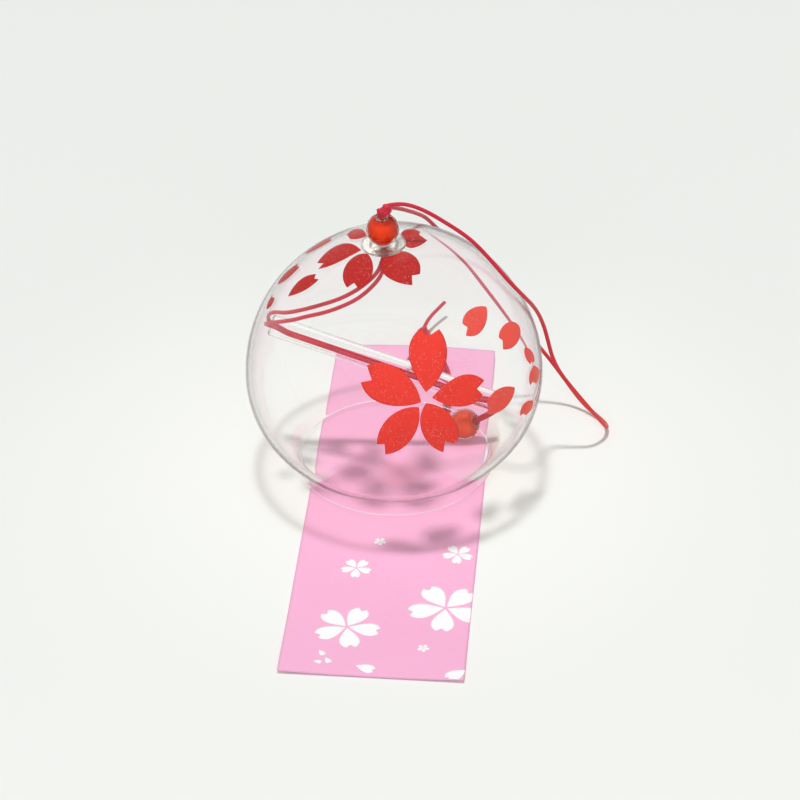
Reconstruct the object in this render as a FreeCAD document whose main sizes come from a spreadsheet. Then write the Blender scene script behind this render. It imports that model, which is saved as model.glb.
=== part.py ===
import FreeCAD, Part
import math
import os
import Sketcher

# A glass wind bell standing on its own paper strip, as it lies on a table.
# Millimetres and degrees. The origin is under the centre of the bell's mouth, on the strip's
# underside. +Z is up and +Y runs along the strip towards the end that is tied to the cord.

Vector = FreeCAD.Vector
Placement = FreeCAD.Placement
Rotation = FreeCAD.Rotation
ORIGIN = Vector(0, 0, 0)
AXIS_X = Vector(1, 0, 0)
AXIS_Y = Vector(0, 1, 0)
AXIS_Z = Vector(0, 0, 1)

# Driving dimensions
SIZES = {
    # Glass bell: a dome, a tighter belly below it, and a short neck that ends at the mouth
    "dome_radius": 40.0,
    "belly_radius": 29.0,
    "mouth_radius": 27.2,
    "dome_height": 28.95,
    "glass_wall": 1.2,
    "lip_round": 0.45,
    "crown_hole_radius": 3.6,
    "crown_lean": 3.0,
    # Clear washer with a collar, seated in the crown hole
    "washer_radius": 5.9,
    "washer_thick": 0.8,
    "washer_bore_radius": 1.5,
    "washer_edge": 0.25,
    "collar_gap": 0.2,
    "collar_drop": 0.9,
    "seat_gap": 0.05,
    # Beads: a clear cut shell moulded round an opaque ball
    "bead_radius": 4.4,
    "bead_core_radius": 2.8,
    "bead_bore_radius": 1.35,
    "bead_facets": 10,
    "core_gap": 0.02,
    # Braided cord, always doubled, and its knots
    "cord_diameter": 1.1,
    "strand_spacing": 1.24,
    "cord_gap": 0.1,
    "top_knot_radius": 1.8,
    "top_knot_shift": 0.9,
    "stop_knot_radius": 1.9,
    "strip_knot_radius": 2.3,
    "strip_knot_side": 3.2,
    "strip_knot_back": 60.6,
    # Glass clapper tube and the place of its high end
    "tube_radius": 2.9,
    "tube_bore_radius": 1.95,
    "tube_length": 66.0,
    "tube_round": 0.3,
    "tube_end_side": 34.6,
    "tube_end_back": 8.1,
    "tube_end_height": 37.2,
    "tube_over_bead": 4.083,
    "tube_turn": 2.1,
    # Lower bead, resting on the strip inside the mouth
    "lower_bead_side": 18.2,
    "lower_bead_back": 11.5,
    "lower_bead_slope": 25.0,
    # Paper strip
    "strip_width": 47.0,
    "strip_length": 148.0,
    "strip_thick": 0.35,
    "strip_side_shift": 1.7,
    "strip_back": 53.3,
    "strip_flat": 28.0,
    "strip_bend_radius": 170.0,
    "strip_hole_radius": 2.2,
    "strip_hole_inset": 6.7,
    # The bell leans because the cord passes under its lip
    "lip_lift": 1.3,
    "lift_bearing": 61.0,
    # Overrun of cutting shapes
    "overrun": 3.0,
}

doc = FreeCAD.newDocument("wind_bell")
sheet = doc.addObject("Spreadsheet::Sheet", "Sizes")
for row, (alias, value) in enumerate(SIZES.items(), start=1):
    sheet.set("A%d" % row, alias)
    sheet.set("B%d" % row, str(value))
    sheet.setAlias("B%d" % row, alias)
doc.recompute()
PIECES = []


def size(alias):
    """A driving dimension, read from the sheet."""
    return float(getattr(sheet, alias))


def bind(target, path, expression):
    """Tie one property of an object to the sheet, whose aliases stand in angle brackets."""
    target.setExpression(path, expression.replace("<", "Sizes.").replace(">", ""))


def keep(piece, name, place=None):
    """Name a finished sub-part and put it in its place."""
    piece.Label = name
    if place is not None:
        piece.Placement = place
    PIECES.append(piece)
    return piece


def origin_plane(body, role):
    """One of a body's own origin planes."""
    return [item for item in body.Origin.OriginFeatures if item.Role == role][0]


def new_sketch(body, name, role):
    sketch = body.newObject("Sketcher::SketchObject", name)
    sketch.AttachmentSupport = [(origin_plane(body, role), "")]
    sketch.MapMode = "FlatFace"
    return sketch


def limit(sketch, name, expression, *terms):
    """Add a named dimension to a sketch and tie it to the sheet."""
    index = sketch.addConstraint(Sketcher.Constraint(*terms))
    sketch.renameConstraint(index, name)
    bind(sketch, "Constraints." + name, expression)


def relate(sketch, *relations):
    """Add geometric relations that carry no dimension."""
    for terms in relations:
        sketch.addConstraint(Sketcher.Constraint(*terms))


def line(start, end):
    return Part.LineSegment(Vector(start[0], start[1], 0), Vector(end[0], end[1], 0))


def arc(centre, radius, first, last):
    """A counter-clockwise arc between two angles in degrees."""
    circle = Part.Circle(Vector(centre[0], centre[1], 0), AXIS_Z, radius)
    return Part.ArcOfCircle(circle, math.radians(first), math.radians(last))


def closed_edges_at(shape, heights):
    """Names of the circular edges that lie flat at one of the given heights."""
    found = []
    for index, edge in enumerate(shape.Edges, start=1):
        box = edge.BoundBox
        for height in heights:
            level = max(abs(box.ZMin - height), abs(box.ZMax - height)) < size("core_gap")
            if level and edge.Closed:
                found.append("Edge%d" % index)
    return found


# Names of the parts of sketch geometry that relations refer to
START, END, CENTRE = 1, 2, 3
ROOT = -1
H_AXIS, V_AXIS = -1, -2

# Places of the bell and its crown
cord = size("cord_diameter")
half_spacing = size("strand_spacing") / 2
tilt = math.degrees(math.asin(size("lip_lift") / (2 * size("mouth_radius"))))
bearing = math.radians(size("lift_bearing"))
tilt_axis = Vector(math.sin(bearing), -math.cos(bearing), 0)
mouth_height = size("strip_thick") + size("lip_lift") / 2
BELL = Placement(Vector(0, 0, mouth_height), Rotation(tilt_axis, tilt))
CROWN = BELL * Placement(Vector(0, 0, size("dome_height")), Rotation(AXIS_Y, -size("crown_lean")))

# Levels on the crown axis, counted from the dome's centre
BEAD_FLAT_SHARE = 0.37
seat_level = math.sqrt(size("dome_radius") ** 2 - size("crown_hole_radius") ** 2) + size("seat_gap")
washer_top = seat_level + size("washer_thick")
bead_half_height = size("bead_radius") * math.sqrt(1 - BEAD_FLAT_SHARE ** 2)
bead_level = washer_top + size("seat_gap") + bead_half_height
bead_top = bead_level + bead_half_height
top_knot_level = bead_top + size("cord_gap") + size("top_knot_radius")
stop_knot_level = seat_level - size("collar_drop") - size("cord_gap") - size("stop_knot_radius")
TOP_KNOT = CROWN * Placement(Vector(size("top_knot_shift"), 0, top_knot_level), Rotation())
STOP_KNOT = CROWN * Placement(Vector(0, 0, stop_knot_level), Rotation())

# Place of the lower bead: its own +Z runs along the bore, up towards the clapper tube
lower_bead_height = size("strip_thick") + size("cord_gap") + size("bead_radius")
LOWER_BEAD = Placement(
    Vector(size("lower_bead_side"), size("lower_bead_back"), lower_bead_height),
    Rotation(AXIS_Y, 90 - size("lower_bead_slope")),
)

# The clapper and the cord that carries it grow with the globe they hang in, out of its centre
ROUTE_GLOBE = 40.0
growth = size("dome_radius") / ROUTE_GLOBE
globe_centre = Vector(0, 0, mouth_height + size("dome_height"))


def grown(point):
    """A point inside the globe, moved with the dome's radius."""
    return globe_centre + (point - globe_centre) * growth


# Place of the clapper tube: its own +Z runs from the high end to the low end, over the lower bead
tube_end = grown(Vector(-size("tube_end_side"), size("tube_end_back"), size("tube_end_height")))
tube_length = size("tube_length") * growth
tube_low = lower_bead_height + size("bead_radius") + size("tube_over_bead")
tube_slope = math.degrees(math.asin((tube_end.z - tube_low) / tube_length))
TUBE = Placement(
    tube_end, Rotation(AXIS_Z, size("tube_turn")) * Rotation(AXIS_Y, 90 + tube_slope)
)

# Glass bell: the wall's profile is turned about the upright axis
bell = doc.addObject("PartDesign::Body", "GlassBell")
dome, belly, wall = size("dome_radius"), size("belly_radius"), size("glass_wall")
mouth, rise = size("mouth_radius"), size("dome_height")
neck = ((mouth - dome + belly) ** 2 + rise ** 2 - belly ** 2) / (2 * (dome - mouth))
throat = math.degrees(math.atan2(rise, mouth + neck - dome + belly))
profile = new_sketch(bell, "BellProfile", "XZ_Plane")
dome_centre, belly_centre, neck_centre = (0, rise), (dome - belly, rise), (mouth + neck, 0)
profile.addGeometry([
    arc(dome_centre, dome, 0, 90),
    arc(belly_centre, belly, -throat, 0),
    arc(neck_centre, neck, 180 - throat, 180),
    line((mouth, 0), (mouth - wall, 0)),
    arc(neck_centre, neck + wall, 180 - throat, 180),
    arc(belly_centre, belly - wall, -throat, 0),
    arc(dome_centre, dome - wall, 0, 90),
    line((0, rise + dome - wall), (0, rise + dome)),
])
relate(
    profile,
    ("Coincident", 0, START, 1, END),
    ("Tangent", 1, START, 2, START),
    ("Coincident", 2, END, 3, START),
    ("Coincident", 3, END, 4, END),
    ("Tangent", 4, START, 5, START),
    ("Coincident", 5, END, 6, START),
    ("Coincident", 6, END, 7, START),
    ("Coincident", 7, END, 0, END),
    ("PointOnObject", 0, CENTRE, V_AXIS),
    ("Coincident", 6, CENTRE, 0, CENTRE),
    ("Coincident", 5, CENTRE, 1, CENTRE),
    ("Coincident", 4, CENTRE, 2, CENTRE),
    ("Horizontal", 0, CENTRE, 0, START),
    ("Horizontal", 0, CENTRE, 1, CENTRE),
    ("Horizontal", 0, CENTRE, 5, END),
    ("PointOnObject", 2, CENTRE, H_AXIS),
    ("PointOnObject", 2, END, H_AXIS),
    ("PointOnObject", 4, END, H_AXIS),
    ("PointOnObject", 0, END, V_AXIS),
    ("PointOnObject", 6, END, V_AXIS),
)
limit(profile, "Dome", "<dome_radius>", "Radius", 0, dome)
limit(profile, "Belly", "<belly_radius>", "Radius", 1, belly)
limit(profile, "DomeInside", "<dome_radius> - <glass_wall>", "Radius", 6, dome - wall)
limit(profile, "Mouth", "<mouth_radius>", "DistanceX", ROOT, START, 2, END, mouth)
limit(profile, "Rise", "<dome_height>", "DistanceY", ROOT, START, 0, CENTRE, rise)
turned = bell.newObject("PartDesign::Revolution", "BellWall")
turned.Profile = profile
turned.ReferenceAxis = (profile, ["V_Axis"])
turned.Angle = 360
profile.Visibility = False
crown_hole = bell.newObject("PartDesign::SubtractiveCylinder", "CrownHole")
crown_hole.AttachmentSupport = [(origin_plane(bell, "XY_Plane"), "")]
crown_hole.MapMode = "FlatFace"
crown_hole.AttachmentOffset = Placement(Vector(0, 0, rise), Rotation(AXIS_Y, -size("crown_lean")))
bind(crown_hole, "Radius", "<crown_hole_radius>")
bind(crown_hole, "Height", "<dome_radius> + <overrun>")
doc.recompute()
lip = bell.newObject("PartDesign::Fillet", "Lip")
lip.Base = (crown_hole, closed_edges_at(crown_hole.Shape, [0]))
bind(lip, "Radius", "min(<lip_round>; <glass_wall> * 0.45)")
keep(bell, "glass_bell", BELL)

# Crown washer: a flat ring over the hole and a collar inside it
washer = doc.addObject("PartDesign::Body", "CrownWasher")
ring = new_sketch(washer, "WasherProfile", "XZ_Plane")
bore, flange = size("washer_bore_radius"), size("washer_radius")
collar = size("crown_hole_radius") - size("collar_gap")
drop, thick = size("collar_drop"), size("washer_thick")
ring.addGeometry([
    line((bore, -drop), (collar, -drop)),
    line((collar, -drop), (collar, 0)),
    line((collar, 0), (flange, 0)),
    line((flange, 0), (flange, thick)),
    line((flange, thick), (bore, thick)),
    line((bore, thick), (bore, -drop)),
])
relate(ring, *[("Coincident", side, END, (side + 1) % 6, START) for side in range(6)])
relate(ring, *[("Horizontal", side) for side in (0, 2, 4)])
relate(ring, *[("Vertical", side) for side in (1, 3, 5)])
relate(ring, ("PointOnObject", 2, START, H_AXIS))
limit(ring, "Bore", "<washer_bore_radius>", "DistanceX", ROOT, START, 0, START, bore)
limit(ring, "Collar", "<crown_hole_radius> - <collar_gap>", "DistanceX", ROOT, START, 1, END, collar)
limit(ring, "Flange", "<washer_radius>", "DistanceX", ROOT, START, 2, END, flange)
limit(ring, "Thick", "<washer_thick>", "DistanceY", 3, START, 3, END, thick)
limit(ring, "Drop", "<collar_drop>", "DistanceY", 1, START, 1, END, drop)
ring_turn = washer.newObject("PartDesign::Revolution", "WasherRing")
ring_turn.Profile = ring
ring_turn.ReferenceAxis = (ring, ["V_Axis"])
ring_turn.Angle = 360
ring.Visibility = False
doc.recompute()
washer_edge = washer.newObject("PartDesign::Fillet", "WasherEdge")
outer_edges = [
    name for name in closed_edges_at(ring_turn.Shape, [0, thick])
    if ring_turn.Shape.getElement(name).Curve.Radius > (flange + collar) / 2
]
washer_edge.Base = (ring_turn, outer_edges)
bind(washer_edge, "Radius", "min(<washer_edge>; <washer_thick> * 0.4)")
keep(washer, "crown_washer", CROWN * Placement(Vector(0, 0, seat_level), Rotation()))

# Cut beads: a faceted clear shell, bored through, with a ball inside it
# Rows of facets as shares of the bead's radius: height and radius of each ring of corners
FACET_SHARES = [(-0.929, 0.37), (-0.69, 0.75), (-0.25, 0.985), (0.25, 0.985), (0.69, 0.75), (0.929, 0.37)]


def bead(prefix, place):
    """Shell and core of one bead, centred on their own origin with the bore along Z."""
    rings = []
    for number, (height, radius) in enumerate(FACET_SHARES):
        corner_ring = doc.addObject("Part::RegularPolygon", "%sRing%d" % (prefix, number))
        bind(corner_ring, "Polygon", "<bead_facets>")
        bind(corner_ring, "Circumradius", "<bead_radius> * %g" % radius)
        bind(corner_ring, "Placement.Base.z", "<bead_radius> * %g" % height)
        rings.append(corner_ring)
    cut_glass = doc.addObject("Part::Loft", prefix + "Facets")
    cut_glass.Sections = rings
    cut_glass.Solid = True
    cut_glass.Ruled = True
    hollow = doc.addObject("Part::Sphere", prefix + "Hollow")
    bind(hollow, "Radius", "<bead_core_radius> + <core_gap>")
    ball = doc.addObject("Part::Sphere", prefix + "Ball")
    bind(ball, "Radius", "<bead_core_radius>")
    drills = []
    for use in ("Shell", "Core"):
        drill = doc.addObject("Part::Cylinder", prefix + use + "Drill")
        bind(drill, "Radius", "<bead_bore_radius>")
        bind(drill, "Height", "2 * (<bead_radius> + <overrun>)")
        bind(drill, "Placement.Base.z", "-<bead_radius> - <overrun>")
        drills.append(drill)
    room = doc.addObject("Part::Fuse", prefix + "Room")
    room.Base = hollow
    room.Tool = drills[0]
    shell = doc.addObject("Part::Cut", prefix + "Shell")
    shell.Base = cut_glass
    shell.Tool = room
    keep(shell, prefix + "_shell", place)
    core = doc.addObject("Part::Cut", prefix + "Core")
    core.Base = ball
    core.Tool = drills[1]
    keep(core, prefix + "_core", place)


bead("top_bead", CROWN * Placement(Vector(0, 0, bead_level), Rotation()))
bead("lower_bead", LOWER_BEAD)

# Clapper: an open glass tube with fire-polished ends
clapper = doc.addObject("PartDesign::Body", "ClapperTube")
section = new_sketch(clapper, "TubeSection", "XY_Plane")
tube_radius, tube_bore = size("tube_radius"), size("tube_bore_radius")
section.addGeometry([Part.Circle(ORIGIN, AXIS_Z, tube_radius), Part.Circle(ORIGIN, AXIS_Z, tube_bore)])
relate(section, ("Coincident", 0, CENTRE, ROOT, START), ("Coincident", 1, CENTRE, ROOT, START))
limit(section, "Outside", "<tube_radius>", "Radius", 0, tube_radius)
limit(section, "Bore", "<tube_bore_radius>", "Radius", 1, tube_bore)
tube_pad = clapper.newObject("PartDesign::Pad", "TubeWall")
tube_pad.Profile = section
bind(tube_pad, "Length", "<tube_length> * <dome_radius> / %g" % ROUTE_GLOBE)
section.Visibility = False
doc.recompute()
tube_ends = clapper.newObject("PartDesign::Fillet", "TubeEnds")
tube_ends.Base = (tube_pad, closed_edges_at(tube_pad.Shape, [0, tube_length]))
bind(tube_ends, "Radius", "min(<tube_round>; (<tube_radius> - <tube_bore_radius>) * 0.45)")
keep(clapper, "clapper_tube", TUBE)

# Paper strip: flat under the bell, its tied end curling up off the table
strip = doc.addObject("PartDesign::Body", "PaperStrip")
side = new_sketch(strip, "StripSide", "YZ_Plane")
back, flat, paper = size("strip_back"), size("strip_flat"), size("strip_thick")
front = size("strip_length") - back
bend = size("strip_bend_radius")
curl = math.degrees((back - flat) / bend)


def on_bend(radius):
    """The end of the curled part, at a radius from the bend's centre."""
    angle = math.radians(curl)
    return (flat + radius * math.sin(angle), bend - radius * math.cos(angle))


side.addGeometry([
    line((-front, 0), (flat, 0)),
    arc((flat, bend), bend, 270, 270 + curl),
    line(on_bend(bend), on_bend(bend - paper)),
    arc((flat, bend), bend - paper, 270, 270 + curl),
    line((flat, paper), (-front, paper)),
    line((-front, paper), (-front, 0)),
])
relate(
    side,
    ("Coincident", 0, END, 1, START),
    ("Coincident", 1, END, 2, START),
    ("Coincident", 2, END, 3, END),
    ("Coincident", 3, START, 4, START),
    ("Coincident", 4, END, 5, START),
    ("Coincident", 5, END, 0, START),
    ("Coincident", 1, CENTRE, 3, CENTRE),
    ("PointOnObject", 0, START, H_AXIS),
    ("Horizontal", 0),
    ("Horizontal", 4),
    ("Vertical", 5),
    ("Vertical", 1, CENTRE, 1, START),
    ("Vertical", 1, CENTRE, 3, START),
    ("PointOnObject", 1, CENTRE, 2),
)
limit(side, "Front", "<strip_length> - <strip_back>", "DistanceX", 0, START, ROOT, START, front)
limit(side, "Flat", "<strip_flat>", "DistanceX", ROOT, START, 0, END, flat)
limit(side, "Thick", "<strip_thick>", "DistanceY", 5, END, 5, START, paper)
limit(side, "Bend", "<strip_bend_radius>", "Radius", 1, bend)
curl_length = "(<strip_back> - <strip_flat>)"
limit(side, "Curl", curl_length + " * 1 rad / <strip_bend_radius>", "Angle", 1, math.radians(curl))
strip_pad = strip.newObject("PartDesign::Pad", "StripSheet")
strip_pad.Profile = side
strip_pad.Midplane = True
bind(strip_pad, "Length", "<strip_width>")
side.Visibility = False
doc.recompute()
hole = new_sketch(strip, "StripHole", "XY_Plane")
hole_back = back - size("strip_hole_inset")
hole.addGeometry(Part.Circle(Vector(0, hole_back, 0), AXIS_Z, size("strip_hole_radius")))
relate(hole, ("PointOnObject", 0, CENTRE, V_AXIS))
limit(hole, "HoleRadius", "<strip_hole_radius>", "Radius", 0, size("strip_hole_radius"))
hole_place = "<strip_back> - <strip_hole_inset>"
limit(hole, "HoleBack", hole_place, "DistanceY", ROOT, START, 0, CENTRE, hole_back)
punched = strip.newObject("PartDesign::Pocket", "PunchedHole")
punched.Profile = hole
punched.Type = "ThroughAll"
punched.Midplane = True
hole.Visibility = False
doc.recompute()
if punched.Shape.Volume >= strip_pad.Shape.Volume:
    raise ValueError("The punched hole removed nothing from the strip")
keep(strip, "paper_strip", Placement(Vector(size("strip_side_shift"), 0, 0), Rotation()))

# Knots: three wraps of cord pulled tight round a hidden middle
# Each wrap: the share of the knot's radius that its ring takes, and how the ring is turned
RING_SHARE = 0.62
MIDDLE_SHARE = 0.8
WRAPS = [(AXIS_X, 20), (AXIS_X, 95), (AXIS_Y, 62)]


def knot(name, radius_alias, place):
    parts = []
    for number, (turn_axis, turn) in enumerate(WRAPS):
        wrap = doc.addObject("Part::Torus", "%sWrap%d" % (name, number))
        bind(wrap, "Radius1", "<%s> * %g" % (radius_alias, RING_SHARE))
        bind(wrap, "Radius2", "<%s> * %g" % (radius_alias, 1 - RING_SHARE))
        wrap.Placement = Placement(ORIGIN, Rotation(turn_axis, turn))
        parts.append(wrap)
    middle = doc.addObject("Part::Sphere", name + "Middle")
    bind(middle, "Radius", "<%s> * %g" % (radius_alias, MIDDLE_SHARE))
    parts.append(middle)
    lump = doc.addObject("Part::MultiFuse", name)
    lump.Shapes = parts
    keep(lump, name, place)


strip_knot_height = size("strip_knot_radius") + size("cord_gap") * 2
STRIP_KNOT = Placement(
    Vector(size("strip_knot_side"), size("strip_knot_back"), strip_knot_height), Rotation()
)
knot("top_knot", "top_knot_radius", TOP_KNOT)
knot("stop_knot", "stop_knot_radius", STOP_KNOT)
knot("strip_knot", "strip_knot_radius", STRIP_KNOT)


# Straight strands through the crown, from the stop knot up to the top knot
crown_run = top_knot_level - size("top_knot_radius") - stop_knot_level
for name, offset in (("crown_strand_left", -half_spacing), ("crown_strand_right", half_spacing)):
    piece = doc.addObject("Part::Cylinder", name)
    bind(piece, "Radius", "<cord_diameter> / 2")
    piece.Height = crown_run - size("cord_gap") / 2
    keep(piece, name, CROWN * Placement(Vector(offset, 0, stop_knot_level), Rotation()))

# Straight strands along the clapper tube's bore
bore_margin = size("tube_radius") - size("tube_bore_radius")
for name, offset in (("tube_strand_front", half_spacing), ("tube_strand_back", -half_spacing)):
    piece = doc.addObject("Part::Cylinder", name)
    bind(piece, "Radius", "<cord_diameter> / 2")
    piece.Height = tube_length - 2 * bore_margin
    keep(piece, name, TUBE * Placement(Vector(0, -offset, bore_margin), Rotation()))

# Free cords: straight runs joined by arcs, through points chosen by hand
ARC_SHARE = 0.45
ROUTES = {
    "hanging_loop": [
        (-2.0, -1.2, 81.6), (1.1, 1.7, 81.0), (6.9, 2.8, 78.7), (14.4, 5.2, 72.4),
        (19.8, 5.9, 67.9), (24.6, 5.1, 62.9), (30.0, 2.3, 57.8), (34.1, 4.1, 52.1),
        (37.2, 9.3, 45.0), (39.2, 12.0, 38.5), (40.6, 12.2, 32.9), (41.7, 11.9, 28.5),
        (43.7, 11.6, 23.9), (47.5, 11.3, 18.7), (52.5, 11.4, 12.1), (55.6, 13.6, 6.8),
        (57.2, 15.9, 3.1), (57.6, 18.7, 1.1), (56.7, 21.8, 0.6), (54.4, 24.8, 0.7),
        (51.2, 27.5, 1.9), (48.0, 29.7, 4.6), (44.7, 31.2, 8.6), (41.2, 32.1, 13.2),
        (37.1, 32.7, 18.3), (32.2, 33.3, 24.1), (27.2, 34.2, 30.2), (22.2, 35.6, 36.0),
        (17.3, 36.6, 42.3), (12.5, 35.6, 48.8), (8.6, 31.6, 55.6), (6.2, 25.6, 62.4),
        (4.2, 18.9, 67.6), (2.5, 12.5, 72.1), (0.6, 6.1, 76.6), (-1.9, -0.1, 80.6),
    ],
    "drop_strand_front": [
        (-2.1, -1.75, 65.8), (-2.9, -1.6, 62.6), (-3.9, -1.0, 59.4), (-6.1, -0.1, 55.8),
        (-9.4, 1.0, 51.7), (-13.5, 2.4, 48.1), (-19.3, 3.7, 44.6), (-24.6, 4.3, 42.7),
        (-27.92, 4.84, 41.09), (-31.53, 5.11, 40.13), (-34.0, 5.32, 39.58),
        (-35.58, 5.76, 39.01), (-36.0, 6.65, 38.3), (-35.2, 7.35, 37.45), (-33.69, 7.51, 36.86),
    ],
    "drop_strand_back": [
        (-2.95, -1.0, 65.8), (-3.8, -0.5, 62.4), (-5.1, 0.3, 59.4), (-7.7, 1.5, 55.9),
        (-11.0, 2.9, 52.2), (-16.1, 4.7, 48.1), (-22.4, 6.1, 44.8), (-27.0, 6.8, 42.8),
        (-30.52, 7.75, 41.31), (-32.73, 8.17, 41.19), (-34.63, 8.5, 40.75),
        (-35.6, 8.66, 39.51), (-35.3, 8.7, 37.75), (-33.74, 8.75, 36.86),
    ],
    "bead_cord_front": [
        (25.98, 9.69, 13.65), (27.4, 9.73, 13.1), (27.8, 9.83, 11.7), (26.5, 9.98, 10.1),
        (24.9, 10.2, 8.8), (23.4, 10.5, 7.7), (22.24, 10.88, 6.78),
    ],
    "bead_cord_back": [
        (25.94, 10.93, 13.65), (27.3, 10.98, 13.1), (27.7, 11.08, 11.7), (26.4, 11.2, 10.1),
        (24.8, 11.45, 8.8), (23.4, 11.8, 7.7), (22.24, 12.12, 6.78),
    ],
    "link_cord_left": [
        (21.96, 10.88, 6.6), (14.03, 10.88, 2.91), (11.87, 11.95, 1.65), (10.41, 14.22, 1.05),
        (10.18, 17.47, 0.95), (11.1, 21.05, 0.95), (11.99, 24.79, 0.95), (12.28, 28.99, 1.0),
        (11.88, 33.74, 1.15), (11.29, 38.48, 1.37), (10.01, 43.2, 1.75), (8.03, 48.16, 2.35),
        (5.83, 53.35, 3.1), (4.03, 57.35, 3.2), (3.0, 59.6, 2.9),
    ],
    "link_cord_right": [
        (21.96, 12.12, 6.6), (14.03, 12.12, 2.91), (12.83, 12.95, 1.75), (11.69, 14.78, 1.05),
        (11.42, 17.6, 0.95), (12.3, 20.75, 0.95), (13.21, 24.61, 0.95), (13.52, 29.01, 1.0),
        (13.12, 33.86, 1.15), (12.51, 38.72, 1.37), (11.19, 43.6, 1.75), (9.17, 48.64, 2.35),
        (6.97, 53.85, 3.1), (5.27, 57.65, 3.2), (4.1, 59.7, 2.9),
    ],
    "strip_tie": [
        (3.0, 59.3, 3.3), (2.5, 56.0, 3.35), (2.1, 52.4, 3.1), (1.8, 48.8, 2.95),
        (1.7, 46.1, 3.0), (1.7, 45.4, 1.8), (1.7, 46.1, 0.6), (1.75, 48.2, 0.58),
        (1.9, 51.4, 0.62), (2.3, 54.8, 0.85), (2.8, 57.8, 1.5), (3.1, 59.8, 2.2),
    ],
    "cord_tail": [
        (3.4, 61.6, 3.2), (4.0, 63.6, 4.0), (5.4, 67.2, 4.5), (7.3, 71.1, 4.9), (9.2, 74.8, 5.5),
    ],
}


def cord_path(points):
    """Runs joined by tangent arcs, and the arcs' radii."""
    edges = []
    radii = []
    last = points[0]
    for before, corner, after in zip(points, points[1:], points[2:]):
        into, out = corner - before, after - corner
        turn = into.getAngle(out)
        cut = ARC_SHARE * min(into.Length, out.Length)
        radius = cut / math.tan(turn / 2)
        into.normalize()
        out.normalize()
        first, end = corner - into * cut, corner + out * cut
        bisector = out - into
        bisector.normalize()
        middle = corner + bisector * (math.hypot(cut, radius) - radius)
        edges.append(Part.LineSegment(last, first).toShape())
        edges.append(Part.Arc(first, middle, end).toShape())
        radii.append(radius)
        last = end
    edges.append(Part.LineSegment(last, points[-1]).toShape())
    return Part.Wire(edges), radii


for name, points in ROUTES.items():
    points = [Vector(*point) for point in points]
    if name.startswith("drop_strand"):
        points = [grown(point) for point in points]
    wire, radii = cord_path(points)
    path = doc.addObject("Part::Feature", name + "_path")
    path.Shape = wire
    round_section = doc.addObject("Part::Circle", name + "_section")
    bind(round_section, "Radius", "<cord_diameter> / 2")
    round_section.Placement = Placement(points[0], Rotation(AXIS_Z, points[1] - points[0]))
    sweep = doc.addObject("Part::Sweep", name)
    sweep.Sections = [round_section]
    sweep.Spine = (path, [])
    sweep.Solid = True
    keep(sweep, name)
    doc.recompute()
    expected = math.pi * cord ** 2 / 4 * wire.Length
    print("%s: length %.1f, least radius %.2f, volume %.4f of its section times its length"
          % (name, wire.Length, min(radii), sweep.Shape.Volume / expected))

# Check everything, then write one file for each sub-part
doc.recompute()
for item in doc.Objects:
    if "Invalid" in item.State or "Error" in item.State:
        raise ValueError("%s failed: %s" % (item.Name, item.State))
os.makedirs("parts", exist_ok=True)
for piece in PIECES:
    if piece.Shape.isNull() or not piece.Shape.isValid():
        raise ValueError("%s is not a valid shape" % piece.Label)
    if len(piece.Shape.Solids) != 1:
        raise ValueError("%s has %d solids" % (piece.Label, len(piece.Shape.Solids)))
for piece in PIECES:
    piece.Shape.exportStep("parts/%s.step" % piece.Label)
    print("%s: volume %.2f" % (piece.Label, piece.Shape.Volume))
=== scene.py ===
import math

import bmesh
import bpy
import numpy as np
from bpy.props import FloatProperty, FloatVectorProperty, IntProperty, PointerProperty
from bpy.types import Operator, Panel, PropertyGroup
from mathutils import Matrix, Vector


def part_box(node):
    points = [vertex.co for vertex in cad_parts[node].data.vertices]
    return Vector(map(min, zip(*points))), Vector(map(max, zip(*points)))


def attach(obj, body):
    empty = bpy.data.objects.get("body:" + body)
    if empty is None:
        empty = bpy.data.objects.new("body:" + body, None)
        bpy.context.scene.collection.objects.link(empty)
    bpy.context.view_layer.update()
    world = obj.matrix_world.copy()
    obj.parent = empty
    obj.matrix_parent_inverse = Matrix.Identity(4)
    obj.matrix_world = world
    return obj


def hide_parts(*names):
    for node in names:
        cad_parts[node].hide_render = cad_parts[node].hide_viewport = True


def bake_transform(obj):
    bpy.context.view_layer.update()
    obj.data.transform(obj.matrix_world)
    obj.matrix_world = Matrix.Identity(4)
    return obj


bl_info = {
    "name": "Glass Wind Bell",
    "version": (1, 0, 0),
    "blender": (4, 5, 0),
    "location": "3D View > Sidebar > Wind Bell",
    "description": "Dresses a blown glass wind bell with its printed petals, beads, cord and paper strip",
    "category": "Object",
}

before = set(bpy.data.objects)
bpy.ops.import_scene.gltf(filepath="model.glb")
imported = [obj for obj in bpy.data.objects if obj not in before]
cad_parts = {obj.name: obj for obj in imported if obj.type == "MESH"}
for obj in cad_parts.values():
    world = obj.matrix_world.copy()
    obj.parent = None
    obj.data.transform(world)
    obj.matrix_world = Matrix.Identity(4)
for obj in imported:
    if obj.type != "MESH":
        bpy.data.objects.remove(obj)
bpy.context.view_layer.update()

MM = 0.001
PICTURE = 800
SENSOR = 36.0
# Play between pieces that nearly touch, and the height of a skin over what it lies on
PLAY = 0.1 * MM
SKIN = 0.02 * MM
# Heights of a bead's end rows and of its bore's mouths, in shares of its radius
END_ROW_SHARE = 0.929
MOUTH_SHARE = 0.915


def colour(code):
    """Linear RGBA from an sRGB hex value."""
    parts = np.array([int(code[i:i + 2], 16) for i in (1, 3, 5)]) / 255
    linear = np.where(parts <= 0.04045, parts / 12.92, ((parts + 0.055) / 1.055) ** 2.4)
    return (*linear.tolist(), 1.0)


def length(name, description, millimetres):
    return FloatProperty(name=name, description=description, default=millimetres * MM,
                         unit="LENGTH", precision=5)


def number(name, description, value):
    return FloatProperty(name=name, description=description, default=value)


def watts(name, description, value):
    return FloatProperty(name=name, description=description, default=value, unit="POWER")


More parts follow.
